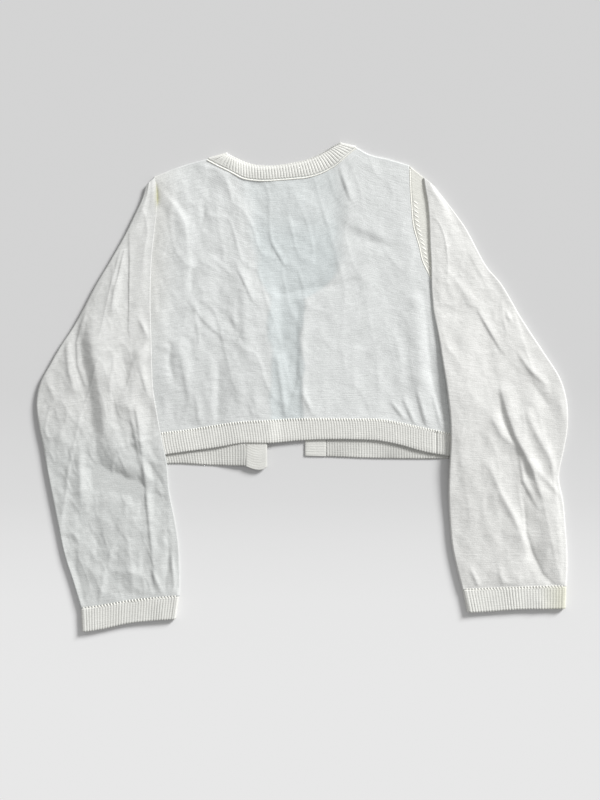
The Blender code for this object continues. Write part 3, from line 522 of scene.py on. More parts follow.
def opening_edges(y):
    """Left and right limits of the open front and neck under the back."""
    left = np.array(NECK_FRONT_LEFT[::-1])
    right = np.array(NECK_FRONT_RIGHT[::-1])
    left_x = np.where(y < left[0, 3], LEFT_BAND_X[1], along(left[:, 3], left[:, 2], y))
    right_x = np.where(y < right[0, 3], RIGHT_BAND_X[0], along(right[:, 3], right[:, 2], y))
    return left_x, right_x


def from_edges(x, y):
    """Distances inward from the back's nearer side and from its shoulder line."""
    side = np.minimum(x - read_table(LEFT_SIDE, 1, y), read_table(RIGHT_SIDE, 1, y) - x)
    return side, read_table(SHOULDERS, 1, x) - y


def back_middle(x, y):
    """Height of the back's mid-wall, without its folds: it sags over the open front."""
    left_x, right_x = opening_edges(y)
    right_width = between(SAG_STEP, SAG_WIDTH, ramp(y, *SAG_WIDENS_Y))
    dip = smooth((x - left_x - 2) / SAG_WIDTH) * smooth((right_x - 1 - x) / right_width)
    dip = dip * ramp(y, *SAG_STARTS_Y)
    near = (1 - smooth(np.minimum(*from_edges(x, y)) / EDGE_DROP_WIDTH)) * ramp(y, *EDGE_DROP_Y)
    tip = spot(x - read_table(LEFT_SIDE, 1, y), y - 174, 2.4, 10, 4)
    return BACK_MIDDLE + band_lift(x, y, True) - SAG * dip - EDGE_DROP * near - TIP_DIP * tip


def back_height(x, y):
    """Height of the back's mid-wall with its folds and creases, which fade out at its seams."""
    side, shoulder = from_edges(x, y)
    neck = np.array(NECK_BACK)
    inside = (x > neck[0, 0]) & (x < neck[-1, 0])
    beyond_neck = 400.0
    neckline = np.where(inside, along(neck[:, 0], neck[:, 1], x), beyond_neck) - y
    hem = y - read_table(BACK_HEM, 1, x)
    wide = smooth(side / SIDE_FADE) * smooth(shoulder / EDGE_DROP_WIDTH) * smooth(hem / EDGE_FADE)
    edge = smooth(side / EDGE_FADE) * smooth(shoulder / EDGE_FADE)
    edge = edge * smooth(neckline / SEAM_FADE) * smooth(hem / SEAM_FADE)
    worn = 0.62 + 0.25 * smooth(-x / 60) - 0.15 * smooth(x / 50)
    fine = crease_height(BACK_CREASES, x, y) + worn * crumple(x, y, 11)
    return back_middle(x, y) + wide * fold_height(BACK_FOLDS, x, y) + edge * fine


def shell(name, middle, material, up=0.0, wall=None, closed=False, in_section=False,
          thin=0.0, warm=0.0, dim=0.0):
    """Make a closed cloth wall from mid-wall points, raised by up on its outer side.

    in_section keeps each row's wall in that row's own upright section. The UV map holds
    millimetres across and down the knit; the last three tint the cloth, with painted shade and a stain."""
    wall = settings().cloth_wall / MM if wall is None else wall
    after = np.roll(middle, -1, axis=1)
    before = np.roll(middle, 1, axis=1)
    if not closed:
        after[:, -1] = middle[:, -1]
        before[:, 0] = middle[:, 0]
    across = after - before
    down = np.array([0.0, -1.0, 0.0]) if in_section else np.gradient(middle, axis=0)
    normal = np.cross(down, across)
    normal /= np.maximum(np.linalg.norm(normal, axis=2, keepdims=True), 1e-9)
    up = np.broadcast_to(np.asarray(up, float), middle.shape[:2])[..., None]
    outer = middle + normal * (wall / 2 + up)
    inner = middle - normal * (wall / 2)
    rows, columns = middle.shape[:2]

    spans = columns if closed else columns - 1
    r, c = (part.ravel() for part in np.meshgrid(np.arange(rows - 1), np.arange(spans), indexing="ij"))
    first, last = np.zeros(spans, int), np.full(spans, rows - 1)
    s = np.arange(spans)
    grids = [
        ((0, r, c), (0, r + 1, c), (0, r + 1, c + 1), (0, r, c + 1)),
        ((1, r, c + 1), (1, r + 1, c + 1), (1, r + 1, c), (1, r, c)),
        ((0, first, s), (0, first, s + 1), (1, first, s + 1), (1, first, s)),
        ((1, last, s), (1, last, s + 1), (0, last, s + 1), (0, last, s)),
    ]
    if not closed:
        q = np.arange(rows - 1)
        start, end = np.zeros(rows - 1, int), np.full(rows - 1, columns - 1)
        grids.append(((1, q, start), (1, q + 1, start), (0, q + 1, start), (0, q, start)))
        grids.append(((0, q, end), (0, q + 1, end), (1, q + 1, end), (1, q, end)))

    step_u = np.linalg.norm(np.diff(np.concatenate([middle, middle[:, :1]], axis=1), axis=1), axis=2)
    u = np.concatenate([np.zeros((rows, 1)), np.cumsum(step_u, axis=1)], axis=1)
    step_v = np.linalg.norm(np.diff(middle, axis=0), axis=2).mean(axis=1)
    v = -np.concatenate([[0.0], np.cumsum(step_v)])
    faces, uvs = [], []
    for corners in grids:
        faces.append(np.stack([(side * rows + row) * columns + column % columns
                               for side, row, column in corners], axis=1))
        uvs.append(np.stack([np.stack([u[row, column], v[row]], axis=1)
                             for _, row, column in corners], axis=1))
    faces = np.concatenate(faces)
    data = bpy.data.meshes.new(name)
    points = np.concatenate([outer.reshape(-1, 3), inner.reshape(-1, 3)]) * MM
    data.from_pydata(points.tolist(), [], faces.tolist())
    layer = data.uv_layers.new(name="knit")
    layer.data.foreach_set("uv", np.concatenate(uvs).reshape(-1))
    for label, values in (("thin", thin), ("warm", warm), ("dim", dim)):
        tint = data.attributes.new(label, "FLOAT", "POINT")
        values = np.broadcast_to(values, (rows, columns)).ravel()
        tint.data.foreach_set("value", np.tile(values, 2))
    walls = 2 * (rows - 1) * spans
    data.polygons.foreach_set("use_smooth", np.arange(len(data.polygons)) < walls)
    return finished(name, data, material)


def finished(name, data, material):
    """Put a mesh in the scene as a piece on the one body, with its material."""
    data.validate()
    data.update()
    piece = bpy.data.objects.new(name, data)
    bpy.context.scene.collection.objects.link(piece)
    data.materials.append(material)
    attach(piece, "root")
    return piece


def stitches(name, places, ways, size, material):
    """A row of small rounded stitches: size is (length, width, height) and ways are their directions."""
    length, width, height = size
    rings = ((-0.34, 0.8), (0.0, 1.0), (0.34, 0.8))
    sides = 6
    turns = [2 * math.pi * side / sides for side in range(sides)]
    points, faces = [], []
    for place, way in zip(np.asarray(places, float), np.asarray(ways, float)):
        way = way / np.linalg.norm(way)
        across = np.cross((0.0, 0.0, 1.0), way)
        across /= np.linalg.norm(across)
        over = np.cross(way, across)
        base = len(points)
        points.append(place - way * length / 2)
        for share, round_by in rings:
            for turn in turns:
                reach = across * math.cos(turn) * width + over * math.sin(turn) * height
                points.append(place + way * length * share + reach * round_by / 2)
        points.append(place + way * length / 2)
        tip = len(points) - 1
        for side in range(sides):
            after = (side + 1) % sides
            faces.append((base, base + 1 + after, base + 1 + side))
            for one in range(base + 1, tip - sides, sides):
                other = one + sides
                faces.append((one + side, one + after, other + after, other + side))
            faces.append((tip, tip - sides + side, tip - sides + after))
    data = bpy.data.meshes.new(name)
    data.from_pydata((np.array(points) * MM).tolist(), [], faces)
    data.polygons.foreach_set("use_smooth", np.ones(len(data.polygons), bool))
    return finished(name, data, material)


def linked_row(name, line, lift, pitch, size, slant, material):
    """Linking stitches along a line on the back's or a cuff's surface; lift gives their height."""
    line = np.asarray(line, float)
    steps = np.hypot(*np.diff(line, axis=0).T)
    run = np.concatenate([[0.0], np.cumsum(steps)])
    at = np.arange(pitch / 2, run[-1], pitch)
    x, y = np.interp(at, run, line[:, 0]), np.interp(at, run, line[:, 1])
    way = np.stack([np.gradient(x), np.gradient(y)], axis=1)
    way /= np.linalg.norm(way, axis=1, keepdims=True)
    turned = np.stack([way[:, 0] * math.cos(slant) - way[:, 1] * math.sin(slant),
                       way[:, 0] * math.sin(slant) + way[:, 1] * math.cos(slant), 0 * at], axis=1)
    return stitches(name, np.stack([x, y, lift(x, y)], axis=1), turned, size, material)


def make_back(material):
    """The back: columns from side to side, rows from the shoulders to the hem."""
    shares = np.linspace(0.0, 1.0, BACK_STEPS[0])
    columns = between(SHOULDERS[0][0], SHOULDERS[-1][0], shares)
    neck = np.array(NECK_BACK)
    in_neck = (columns > neck[0, 0]) & (columns < neck[-1, 0])
    slope = along(neck[:, 0], np.gradient(neck[:, 1], neck[:, 0]), columns)
    neckline = along(neck[:, 0], neck[:, 1], columns) + SEAM_LAP * np.hypot(1, slope)
    top = np.where(in_neck, neckline, read_table(SHOULDERS, 1, columns))
    bottom = read_table(BACK_HEM, 1, between(BACK_HEM[0][0], BACK_HEM[-1][0], shares)) - SEAM_LAP
    y = between(top, bottom, np.linspace(0.0, 1.0, BACK_STEPS[1])[:, None])
    left, right = read_table(LEFT_SIDE, 1, y), read_table(RIGHT_SIDE, 1, y)
    x = between(left, right, shares)

    # The single layer over the open front, painted in a cool shade for the floor's shade showing through:
    # its edges wander, and blur and fade higher up
    left_x, right_x = opening_edges(y)
    wander = 2.5 * uneven(x, y, 14.0, 5)
    high = ramp(y, 95, 135)
    single = smooth((x - left_x - wander) / (5 + 9 * high))
    single = single * smooth((right_x + wander - x) / (5 + 13 * high)) * (1 - 0.5 * ramp(y, 128, 162))
    beside = np.exp(-((x - left) / 16) ** 2) * ramp(y, 10, 100)
    # Painted shade: greyer to the low left, low on the single layer and along its rim
    dim = 0.2 + ramp(x, 20, -100) * (0.25 + 0.6 * ramp(y, 60, -20)) + 0.35 * single * ramp(y, 80, 50)
    dim = dim + 2.2 * single * (1 - single) * ramp(y, 135, 105)
    # A painted olive shadow in the gap at the left armhole's tip
    warm = 0.95 * spot(x - left, y - 173, 2.6, 9, 4)
    # A cool tone over the whole back, and more of it as painted shade on the single layer; less beside the
    # left side, which is a little creamier
    return shell("back_jersey", np.stack([x, y, back_height(x, y)], axis=2), material,
                 thin=(0.4 + 0.6 * single) * (1 - 0.8 * beside), warm=warm + 0.05 * beside, dim=dim)


def line_of(table, columns, count=400):
    """A smooth line through some columns of a table, a row for each of its points."""
    rows = np.array(table, float)
    steps = np.linspace(0.0, 1.0, len(rows))
    at = np.linspace(0.0, 1.0, count)
    return np.stack([along(steps, rows[:, column], at) for column in columns], axis=1)


def make_front(is_left, material):
    """One front: the neckline and the band's seam are one edge, the armhole and side the other."""
    if is_left:
        name, neck, side, hem = "front_left_jersey", NECK_FRONT_LEFT, LEFT_SIDE, FRONT_HEM_LEFT
        band_x = LEFT_BAND_X[0] + SEAM_LAP
    else:
        name, neck, side, hem = "front_right_jersey", NECK_FRONT_RIGHT, RIGHT_SIDE, FRONT_HEM_RIGHT
        band_x = RIGHT_BAND_X[1] - SEAM_LAP
    shares = np.linspace(0.0, 1.0, FRONT_STEPS[0])
    ends = (side[-1][1], neck[0][0]) if is_left else (neck[0][0], side[-1][1])
    top = read_table(SHOULDERS, 1, between(*ends, shares))
    bottom = read_table(hem, 1, between(hem[0][0], hem[-1][0], shares)) - SEAM_LAP
    y = between(top, bottom, np.linspace(0.0, 1.0, FRONT_STEPS[1])[:, None])
    seam_x, seam_y = line_of(neck, (0, 1), NECKLINE_STEPS).T
    free = np.interp(y, seam_y[::-1], seam_x[::-1])
    free = np.minimum(free + SEAM_LAP, band_x) if is_left else np.maximum(free - SEAM_LAP, band_x)
    edge = read_table(side, 1, y)
    x = between(edge, free, shares) if is_left else between(free, edge, shares)
    z = front_middle(x, y) + 0.1 * crumple(x, y, 31)
    return shell(name, np.stack([x, y, z], axis=2), material)


def ribbed(count):
    """Shares along a strip, and how far each is raised, for a number of round ribs."""
    shares = np.linspace(0.0, 1.0, STEPS_PER_RIB * count + 1)
    wave = 1 - np.abs(np.cos(math.pi * shares * count)) ** 3
    uneven_ribs = 1 + 0.16 * uneven(shares * count, 0 * shares, 1.0, 3 + count)
    return shares, wave * uneven_ribs * settings().rib_height / MM


def scallop(raised):
    """How far each rib hangs below a ribbed strip's edge, and each groove stays above it."""
    return 0.35 * (raised / raised.max() - 0.5)


def make_hem_rib(name, table, count, is_back, material):
    """A ribbed hem whose ribs end in a slightly scalloped edge."""
    rows = np.array(table)
    shares, raised = ribbed(count)
    starts = [max(rows[0, 0], float(read_table(LEFT_SIDE, 1, rows[0, column]))) for column in (1, 2)]
    top_x, low_x = (between(start, rows[-1, 0], shares) for start in starts)
    top = along(rows[:, 0], rows[:, 1], top_x)
    low = along(rows[:, 0], rows[:, 2], low_x)
    levels = np.linspace(0.0, 1.0, RIB_ROWS)[:, None]
    x = between(top_x, low_x, levels)
    y = between(top, low, levels) - scallop(raised) * smooth((levels - 0.7) / 0.3)
    x = x + 0.35 * uneven(x * 0.4, y, 9.0, 21) * smooth(levels * 3) * smooth((1 - levels) * 3)
    z = back_middle(x, y) if is_back else front_middle(x, y)
    z = z + 0.25 * uneven(x, y * 0.4, 14.0, 22)
    if is_back:
        z = z - 0.55 * np.exp(-((x - HEM_SEAM_X) / 1.1) ** 2)
    z = np.maximum(z - 0.25 * smooth((levels - 0.85) / 0.15), LOWEST_HEM)
    # The back's rib is a little darker; the fronts' ribs get a painted shadow, in patches, where the back's
    # hem shades them
    dim = 0.42 if is_back else 1.35 + 0.9 * uneven(x, y * 0.3, 12.0, 23)
    return shell(name, np.stack([x, y, z], axis=2), material, up=raised, dim=dim)


def make_band(name, limits, neck, bottom_rows, grain, material):
    """A smooth front band from the hem to the neckband; grain is how high its rows of knit are."""
    rows = np.array(sorted(neck))
    columns = np.linspace(limits[0], limits[1], BAND_STEPS[0])
    top = along(rows[:, 0], rows[:, 1], columns) + SEAM_LAP
    levels = np.linspace(0.0, 1.0, BAND_STEPS[1])[:, None]
    y = between(top, read_table(bottom_rows, 1, columns), levels)
    x = columns + 0 * y
    share = (x - limits[0]) / (limits[1] - limits[0])
    courses = grain * np.sin(2 * math.pi * y / BAND_COURSE)
    z = front_middle(x, y) + 0.1 + courses + 0.15 * uneven(x, y, 8.0, 41)
    z = np.maximum(z - 0.2 * smooth(1 - np.minimum(share, 1 - share) / 0.08), LOWEST_BAND)
    return shell(name, np.stack([x, y, z], axis=2), material, wall=BAND_WALL, dim=0.4)


def neck_turn(pair, z_from, z_to, steps=9):
    """Columns of the neckband's fold over a shoulder: a half turn beyond the shoulder line."""
    seam, free = np.array(pair[:2]), np.array(pair[2:])
    way = (free - seam) / np.linalg.norm(free - seam)
    out = np.array([-way[1], way[0]])
    out = out if out[1] > 0 else -out
    radius = abs(z_from - z_to) / 2
    columns = []
    for step in range(1, steps + 1):
        angle = math.pi * step / (steps + 1)
        z = (z_from + z_to) / 2 + (z_from - z_to) / 2 * math.cos(angle)
        columns.append([(*(place + out * radius * math.sin(angle)), z) for place in (seam, free)])
    return columns


def strip_on(edges, height):
    """Both edges of each column of a strip, at the height of the layer that it lies on."""
    return [[(x, y, float(height(x, y))) for x, y in (row[:2], row[2:])] for row in edges]


def make_neckband(material):
    """One ribbed strip: up the left front, over the shoulder, across the back, down the right front."""
    shares, raised = ribbed(NECK_RIBS)
    rows = np.array(NECK_BACK)
    middles = (rows[:, :2] + rows[:, 2:]) / 2
    run = np.concatenate([[0.0], np.cumsum(np.hypot(*np.diff(middles, axis=0).T))])
    across = np.stack([along(run / run[-1], rows[:, column], shares) for column in range(4)], axis=1)
    back = strip_on(across, back_middle)
    left, right = (strip_on(line_of(table, range(4), NECK_ROWS * len(table)), front_middle)
                   for table in (NECK_FRONT_LEFT, NECK_FRONT_RIGHT))
    left_turn = neck_turn(NECK_BACK[0], left[0][0][2], back[0][0][2])
    right_turn = neck_turn(NECK_BACK[-1], back[-1][0][2], right[0][0][2])
    columns = np.array(left[::-1] + left_turn + back + right_turn + right)
    up = np.zeros(len(columns))
    start = len(left) + len(left_turn)
    up[start:start + len(raised)] = raised
    levels = np.linspace(0.0, 1.0, NECK_ROWS)[:, None]
    middle = columns[None, :, 1] * (1 - levels[..., None]) + columns[None, :, 0] * levels[..., None]
    crown = np.sin(math.pi * levels)
    middle[:, :, 2] += 0.6 * crown * (up > 0) - 0.6 * ramp(1 - levels, 0.75, 1.0) * (up > 0)
    return shell("neckband_rib", middle, material, up=up * (0.38 + 0.14 * crown), dim=-0.6)


def curve_between(start, start_handle, end_handle, end, steps):
    """Points on a Bezier curve, its ends left out."""
    places = [np.array(place, float) for place in (start, start_handle, end_handle, end)]
    points = []
    for step in range(1, steps + 1):
        t = step / (steps + 1)
        weights = ((1 - t) ** 3, 3 * t * (1 - t) ** 2, 3 * t ** 2 * (1 - t), t ** 3)
        points.append(sum(weight * place for weight, place in zip(weights, places)))
    return points


def straight(start, end, steps):
    """Evenly spaced points from one place to another, both kept."""
    return [np.array(start, float) * (1 - t) + np.array(end, float) * t for t in np.linspace(0, 1, steps)]


def round_edge(centre, low, radius, way, steps=TURN_STEPS):
    """Points round an edge: out to the right and up for a way of 1, to the left and down for -1."""
    points = []
    for step in range(1, steps + 1):
        angle = math.pi * step / (steps + 1)
        points.append(np.array((centre + way * radius * math.sin(angle),
                                low + radius - way * radius * math.cos(angle))))
    return points


def sleeve_run(section, inner_start):
    """Section points of a sleeve's underside, outer edge and top, from the inner end round."""
    radius = (section.edge_top - SLEEVE_LOW) / 2
    centre = section.outer - PANEL_MIDDLE - radius
    width = centre - inner_start[0]
    wide = min(1.0, width / WIDE_SECTION)
    level_share = 0.35 * wide
    points = straight((section.low, SLEEVE_LOW), (centre, SLEEVE_LOW), LOW_STEPS)
    points += round_edge(centre, SLEEVE_LOW, radius, 1)
    for place in straight((centre, OUTER_TOP), inner_start, TOP_STEPS):
        share = (centre - place[0]) / width
        level = between(OUTER_TOP, inner_start[1], smooth((share - level_share) / (1 - level_share)))
        near = smooth((centre - place[0]) / min(EDGE_RUN, width * 0.5))
        level += (section.edge_top - OUTER_TOP) * (1 - near)
        points.append(np.array((place[0], level + section.puff * wide * math.sin(math.pi * share))))
    return points


def tucked_edge(section):
    """The right sleeve's inner edge: folded over the armhole seam, with a tuck beneath."""
    beside = float(read_table(RIGHT_SIDE, 1, section.seam_y)) - SEAM_LAP
    section.low = beside if section.seam_y > HEM_CLEAR_Y else section.fold + LOW_INSET
    near = float(ramp(section.seam_y, -10, 70))
    rise = FOLD_RISE * math.exp(-((section.seam_y + 5) / 50) ** 2)
    section.under += rise - ARMHOLE_DROP * near
    section.top += rise - (ARMHOLE_DROP + ARMHOLE_THIN) * near
    sewn = section.seam_y > UNDERARM_Y
    land_x = section.tuck if sewn else section.tuck + LANDING
    section.seam = beside if sewn else land_x + 1
    if sewn and land_x - beside < 2:
        land_x = section.seam
    radius = (section.top - section.under) / 2
    centre = section.fold + PANEL_MIDDLE + radius
    tuck = (section.tuck, section.under)
    points = [np.array((centre, section.top))] + round_edge(centre, section.under, radius, -1)
    points += straight((centre, section.under), tuck, 6)
    turned = float(np.clip(land_x - section.seam, -1, 1))
    steep = 1 - abs(turned)
    land = (land_x, STRIP + STRIP_TIP * steep)
    handle = TURN_HANDLE * (1 - steep / 2)
    land_handle = (land_x + turned * handle, land[1] + steep * handle)
    points += curve_between(tuck, (tuck[0] + handle, tuck[1]), land_handle, land, TURN_STEPS)
    return points + straight(land, (section.seam, STRIP), 8)


def plain_edge(section):
    """The left sleeve's inner edge: the top layer comes down to the seam above the low one."""
    if section.fold is None:
        section.fold = -float(read_table(LEFT_SIDE, 1, section.seam_y)) - PLAIN_LAP
    section.seam = section.low = section.fold
    run = between(PLAIN_EDGE_RUN, ARMHOLE_RUN, float(ramp(section.seam_y, -92, -46)))
    run = min(run, 0.42 * (section.outer - section.fold))
    start = (section.fold + run, OUTER_TOP - INNER_DROP)
    rise = 0.12 + 0.5 * float(ramp(section.seam_y, -8, -24) * ramp(section.seam_y, -90, -70))
    end = (section.seam, STRIP + rise)
    handles = (start[0] - run / 2, start[1]), (end[0] + run / 3, end[1] + 0.2)
    return [np.array(start)] + curve_between(start, *handles, end, 14) + [np.array(end)]


def cuff_level(share):
    """Height of a cuff's top mid-wall, by the share across it."""
    return CUFF_TOP - CUFF_HOLLOW * np.sin(math.pi * np.clip(share, 0.0, 1.0)) ** 0.6


# What differs between the sleeves. edge_top: height of the top layer at the outer edge. puff:
# how far the top swells between its edges, and puff_loss how much of that goes below the hem.
# worn_low: further crumpling low down. grey and grey_low: painted shade, and what is added to it
# low down, with painted light where it is below zero; the last two the same for a cool painted shade.
SLEEVES = {
    -1: SimpleNamespace(
        name="sleeve_left_jersey", table=LEFT_SLEEVE, columns=LEFT_SLEEVE_COLUMNS, folds=LEFT_SLEEVE_FOLDS,
        creases=LEFT_SLEEVE_CREASES, cuff=LEFT_CUFF, inner_edge=plain_edge, edge_top=3.5, puff=1.0,
        puff_loss=0.7, seed=51, worn_low=0.75, grey=1.15, grey_low=0.4, thin=0.12, cool_shade_low=0.3),
    1: SimpleNamespace(
        name="sleeve_right_jersey", table=RIGHT_SLEEVE, columns=RIGHT_SLEEVE_COLUMNS,
        folds=RIGHT_SLEEVE_FOLDS, creases=RIGHT_SLEEVE_CREASES, cuff=RIGHT_CUFF, inner_edge=tucked_edge,
        edge_top=3.1, puff=0.7, puff_loss=0.0, seed=71, worn_low=0.0, grey=-0.3, grey_low=1.0,
        thin=0.0, cool_shade_low=0.0),
}


def sleeve_grid(made):
    """A sleeve's mid-wall points, the place in its table of each row, and its two edges there."""
    sections, edges = [], []
    for row in made.table:
        section = SimpleNamespace(**dict(zip(made.columns, row)))
        section.edge_top = made.edge_top - TIP_THIN * float(ramp(section.seam_y, 130, 185))
        section.puff = made.puff * (1 - made.puff_loss * float(ramp(section.seam_y, -50, -110)))
        if row is made.table[-1]:
            section.edge_top, section.puff = CUFF_TOP, 0.0
        inner = made.inner_edge(section)
        x, z = np.array(sleeve_run(section, inner[0]) + inner[1:]).T
        share = (x - section.seam) / (section.outer - section.seam)
        sections.append(np.stack([x, between(section.seam_y, section.outer_y, share), z], axis=1))
        edges.append((section.fold, section.outer))
    rows = np.array(made.cuff)
    last = sections[-1]
    last[:, 1] = along(rows[:, 1], rows[:, 2], last[:, 0]) - SEAM_LAP
    sections, edges = np.array(sections), np.array(edges, float)
    at = np.linspace(0.0, len(made.table) - 1.0, SLEEVE_ROWS)
    places = np.arange(len(made.table))
    middle = np.stack([[along(places, sections[:, column, axis], at) for axis in range(3)]
                       for column in range(sections.shape[1])], axis=0).transpose(2, 0, 1)
    fold, outer = (along(places, edges[:, column], at)[:, None] for column in (0, 1))
    return middle, at[:, None], fold, outer


def make_sleeve(side, material):
    """A sleeve: the table's sections joined smoothly from the shoulder to the cuff, then creased."""
    made = SLEEVES[side]
    middle, number, fold, outer = sleeve_grid(made)
    x, y = middle[:, :, 0], middle[:, :, 1]
    to_cuff = len(made.table) - 1 - number
    first = LOW_STEPS + TURN_STEPS
    order = np.arange(middle.shape[1])[None, :]
    on_top = (order >= first) & ((order < first + TOP_STEPS) | (side < 0))
    room = np.minimum(outer - x, x - fold)

    ends = smooth(number / 2) * smooth(to_cuff / 1.5 + 0.4)
    wide = fold_height(made.folds, x, y) * smooth(room / EDGE_FADE) * ends
    fine_ends = smooth(number / 1.2) * smooth(to_cuff / 0.35)
    worn = 0.8 + made.worn_low * ramp(y, 20, -50)
    fine = crease_height(made.creases, side * x, y) + worn * crumple(x, y, made.seed)
    raised = (wide + fine * smooth(room / FOLD_FADE) * fine_ends) * on_top

    at_cuff = smooth((number - len(made.table) + 1.45) / 0.45) * on_top
    level = cuff_level((x - fold) / (outer - fold))
    if side < 0:
        # The inner edge follows the cuff's rounded edge, which nearly closes the seam's corner
        inward = np.clip((CUFF_RADIUS + PANEL_MIDDLE - (x - fold)) / CUFF_RADIUS, 0.0, 1.0)
        level = level - CUFF_RADIUS * (1 - np.sqrt(1 - inward ** 2))
    plain = between(middle[:, :, 2], level, at_cuff)
    middle[:, :, 2] = np.where(on_top, np.maximum(plain + raised, np.minimum(plain, LOWEST_TOP)), plain)

    # Painted shade by sleeve, grey and cool, with more of it lower down; a grey below zero is painted light
    dim = made.grey + made.grey_low * ramp(y, 140, -50)
    thin = made.thin + made.cool_shade_low * ramp(y, -10, -70)
    if side < 0:
        # A painted olive shadow where the sleeve starts beside the armhole's tip, in the gap there
        warm = 0.02 + TIP_PAINTED_SHADOW * spot(x - 130.5, y - 171.0, 2.2, 9.0)
    else:
        # Painted olive shade on the strip under the fold, and painted shade along the outer edge above the
        # elbow
        warm = 0.03 + 0.13 * (order > first + TOP_STEPS + TURN_STEPS + 6) + 0 * x
        dim = dim + 1.1 * np.exp(-((outer - x) / 15) ** 2) * ramp(y, 50, 100)
    middle[:, :, 0] = side * x
    if side > 0:
        middle, warm, dim = middle[:, ::-1], warm[:, ::-1], dim[:, ::-1]
    return shell(made.name, middle, material, in_section=True, thin=thin, warm=warm, dim=dim)


def make_cuff(side, material):
    """A ribbed cuff: a closed flat tube whose top face has the ribs."""
    name, table, dim = (("cuff_left_rib", LEFT_CUFF, 0.65) if side < 0
                        else ("cuff_right_rib", RIGHT_CUFF, 0.1))
    rows = np.array(table)
    width = rows[-1, 1] - rows[0, 1]
    edge = PANEL_MIDDLE + CUFF_RADIUS
    shares, ups = ribbed(CUFF_RIBS)
    low = np.linspace(edge, width - edge, CUFF_LOW_STEPS)
    outer = np.array(round_edge(width - edge, SLEEVE_LOW, CUFF_RADIUS, 1, CUFF_TURN_STEPS))
    inner = np.array(round_edge(edge, SLEEVE_LOW, CUFF_RADIUS, -1, CUFF_TURN_STEPS))
    top = width - edge - shares * (width - 2 * edge)
    share = np.concatenate([low, outer[:, 0], top, inner[:, 0]]) / width
    z = np.concatenate([np.full(len(low), SLEEVE_LOW), outer[:, 1], cuff_level(shares), inner[:, 1]])
    raised = np.concatenate([0 * low, 0 * outer[:, 0], ups, 0 * inner[:, 0]])

    top_x, top_y, low_x, low_y = (along(rows[:, 0], rows[:, column], share) for column in range(1, 5))
    levels = np.linspace(0.0, 1.0, RIB_ROWS)[:, None]
    x = between(top_x, low_x, levels)
    y = between(top_y, low_y, levels) - scallop(raised) * (raised > 0) * smooth((levels - 0.7) / 0.3)
    wave = 0.3 * uneven(x, y * 0.4, 12.0, 60 + side) * (raised > 0)
    middle = np.stack([side * x, y, z + wave], axis=2)
    up = raised + 0 * levels
    # The right cuff is yellowed towards its outer end
    warm = np.clip((x - 212) / 22, 0, 1) * 0.32 if side > 0 else 0 * y
    if side > 0:
        middle, up, warm = middle[:, ::-1], up[:, ::-1], warm[:, ::-1]
    return shell(name, middle, material, up=up, closed=True, warm=warm, dim=dim)


def make_linking(material):
    """The linking stitches that join each rib to the plain knit above it, one to a rib."""
    def on_back(x, y):
        return back_middle(x, y) + ON_BACK

    def on_cuff(x, y):
        return CUFF_TOP + ON_CUFF + 0 * x

    hem = line_of(BACK_HEM, (0, 1))
    hem[:, 0] = np.maximum(hem[:, 0], -127.2)
    neck = line_of(NECK_BACK, (0, 1))
    way = np.gradient(neck, axis=0)
    way /= np.linalg.norm(way, axis=1, keepdims=True)
    below = neck + 1.1 * np.stack([way[:, 1], -way[:, 0]], axis=1)
    hem_pitch = HEM_STITCHES / BACK_HEM_RIBS
    linked_row("back_hem_linking", hem + (0.0, 0.2), on_back, hem_pitch, LOOP_STITCH, UPRIGHT, material)
    linked_row("neck_linking", below, on_back, NECK_PITCH, NECK_STITCH, 0.12, material)
    for name, cuff, side, start, end in (("cuff_left_linking", LEFT_CUFF, -1, 113.0, 197.0),
                                         ("cuff_right_linking", RIGHT_CUFF, 1, 146.0, 235.0)):
        seam = line_of(cuff, (1, 2))
        seam = seam[(seam[:, 0] > start) & (seam[:, 0] < end)] * (side, 1) + (0.0, 0.2)
        linked_row(name, seam, on_cuff, CUFF_STITCHES / CUFF_RIBS, LOOP_STITCH, UPRIGHT, material)


def make_armhole_seams(material):
    """The armholes' sewn ridges, and the narrowing stitches that slant beside the right one."""
    def on_seam(x, y):
        return STRIP + ON_STRIP - 0.12 * (x < 0)

    def seam_line(outline, aside, start, end, count):
        ys = np.linspace(start, end, count)
        return np.stack([read_table(outline, 1, ys) + aside, ys], axis=1)[::-1]

    right, left = seam_line(RIGHT_SIDE, 0.3, 90.0, 196.0, 220), seam_line(LEFT_SIDE, -0.3, 30.0, 168.0, 240)
    linked_row("armhole_right_seam", right, on_seam, RIGHT_SEAM_PITCH, RIGHT_SEAM_STITCH, 0.0, material)
    linked_row("armhole_left_seam", left, on_seam, LEFT_SEAM_PITCH, LEFT_SEAM_STITCH, 0.0, material)
    ys = np.linspace(108.0, 166.0, 15)
    places = [(float(read_table(RIGHT_SIDE, 1, y)) + 4.1, y, STRIP + 0.42) for y in ys]
    stitches("armhole_narrowing_stitches", places, [(1.0, -0.75, 0.0)] * len(ys), NARROWING_STITCH, material)


def linear(code):
    """Turn an sRGB hex value into linear colour."""
    parts = [int(code[i:i + 2], 16) / 255 for i in (1, 3, 5)]
    return tuple(part / 12.92 if part <= 0.04045 else ((part + 0.055) / 1.055) ** 2.4 for part in parts)


def add(tree, kind, inputs=None, out=0, **values):
    """Add a shader node with its settings, and give the output that out names.

    An input is a number, a colour or another node's output."""
    made = tree.nodes.new("ShaderNode" + kind)
    for name, value in values.items():
        setattr(made, name, value)
    for name, value in (inputs or {}).items():
        if isinstance(value, bpy.types.NodeSocket):
            tree.links.new(value, made.inputs[name])
        else:
            made.inputs[name].default_value = value
    return made.outputs[out]


def blend_colours(tree, factor, one, other):
    """Go from one colour to another by a factor; a colour is three linear values or an output."""
    one, other = (side if isinstance(side, bpy.types.NodeSocket) else (*side, 1.0) for side in (one, other))
    return add(tree, "Mix", {"Factor": factor, "A": one, "B": other}, "Result", data_type="RGBA")


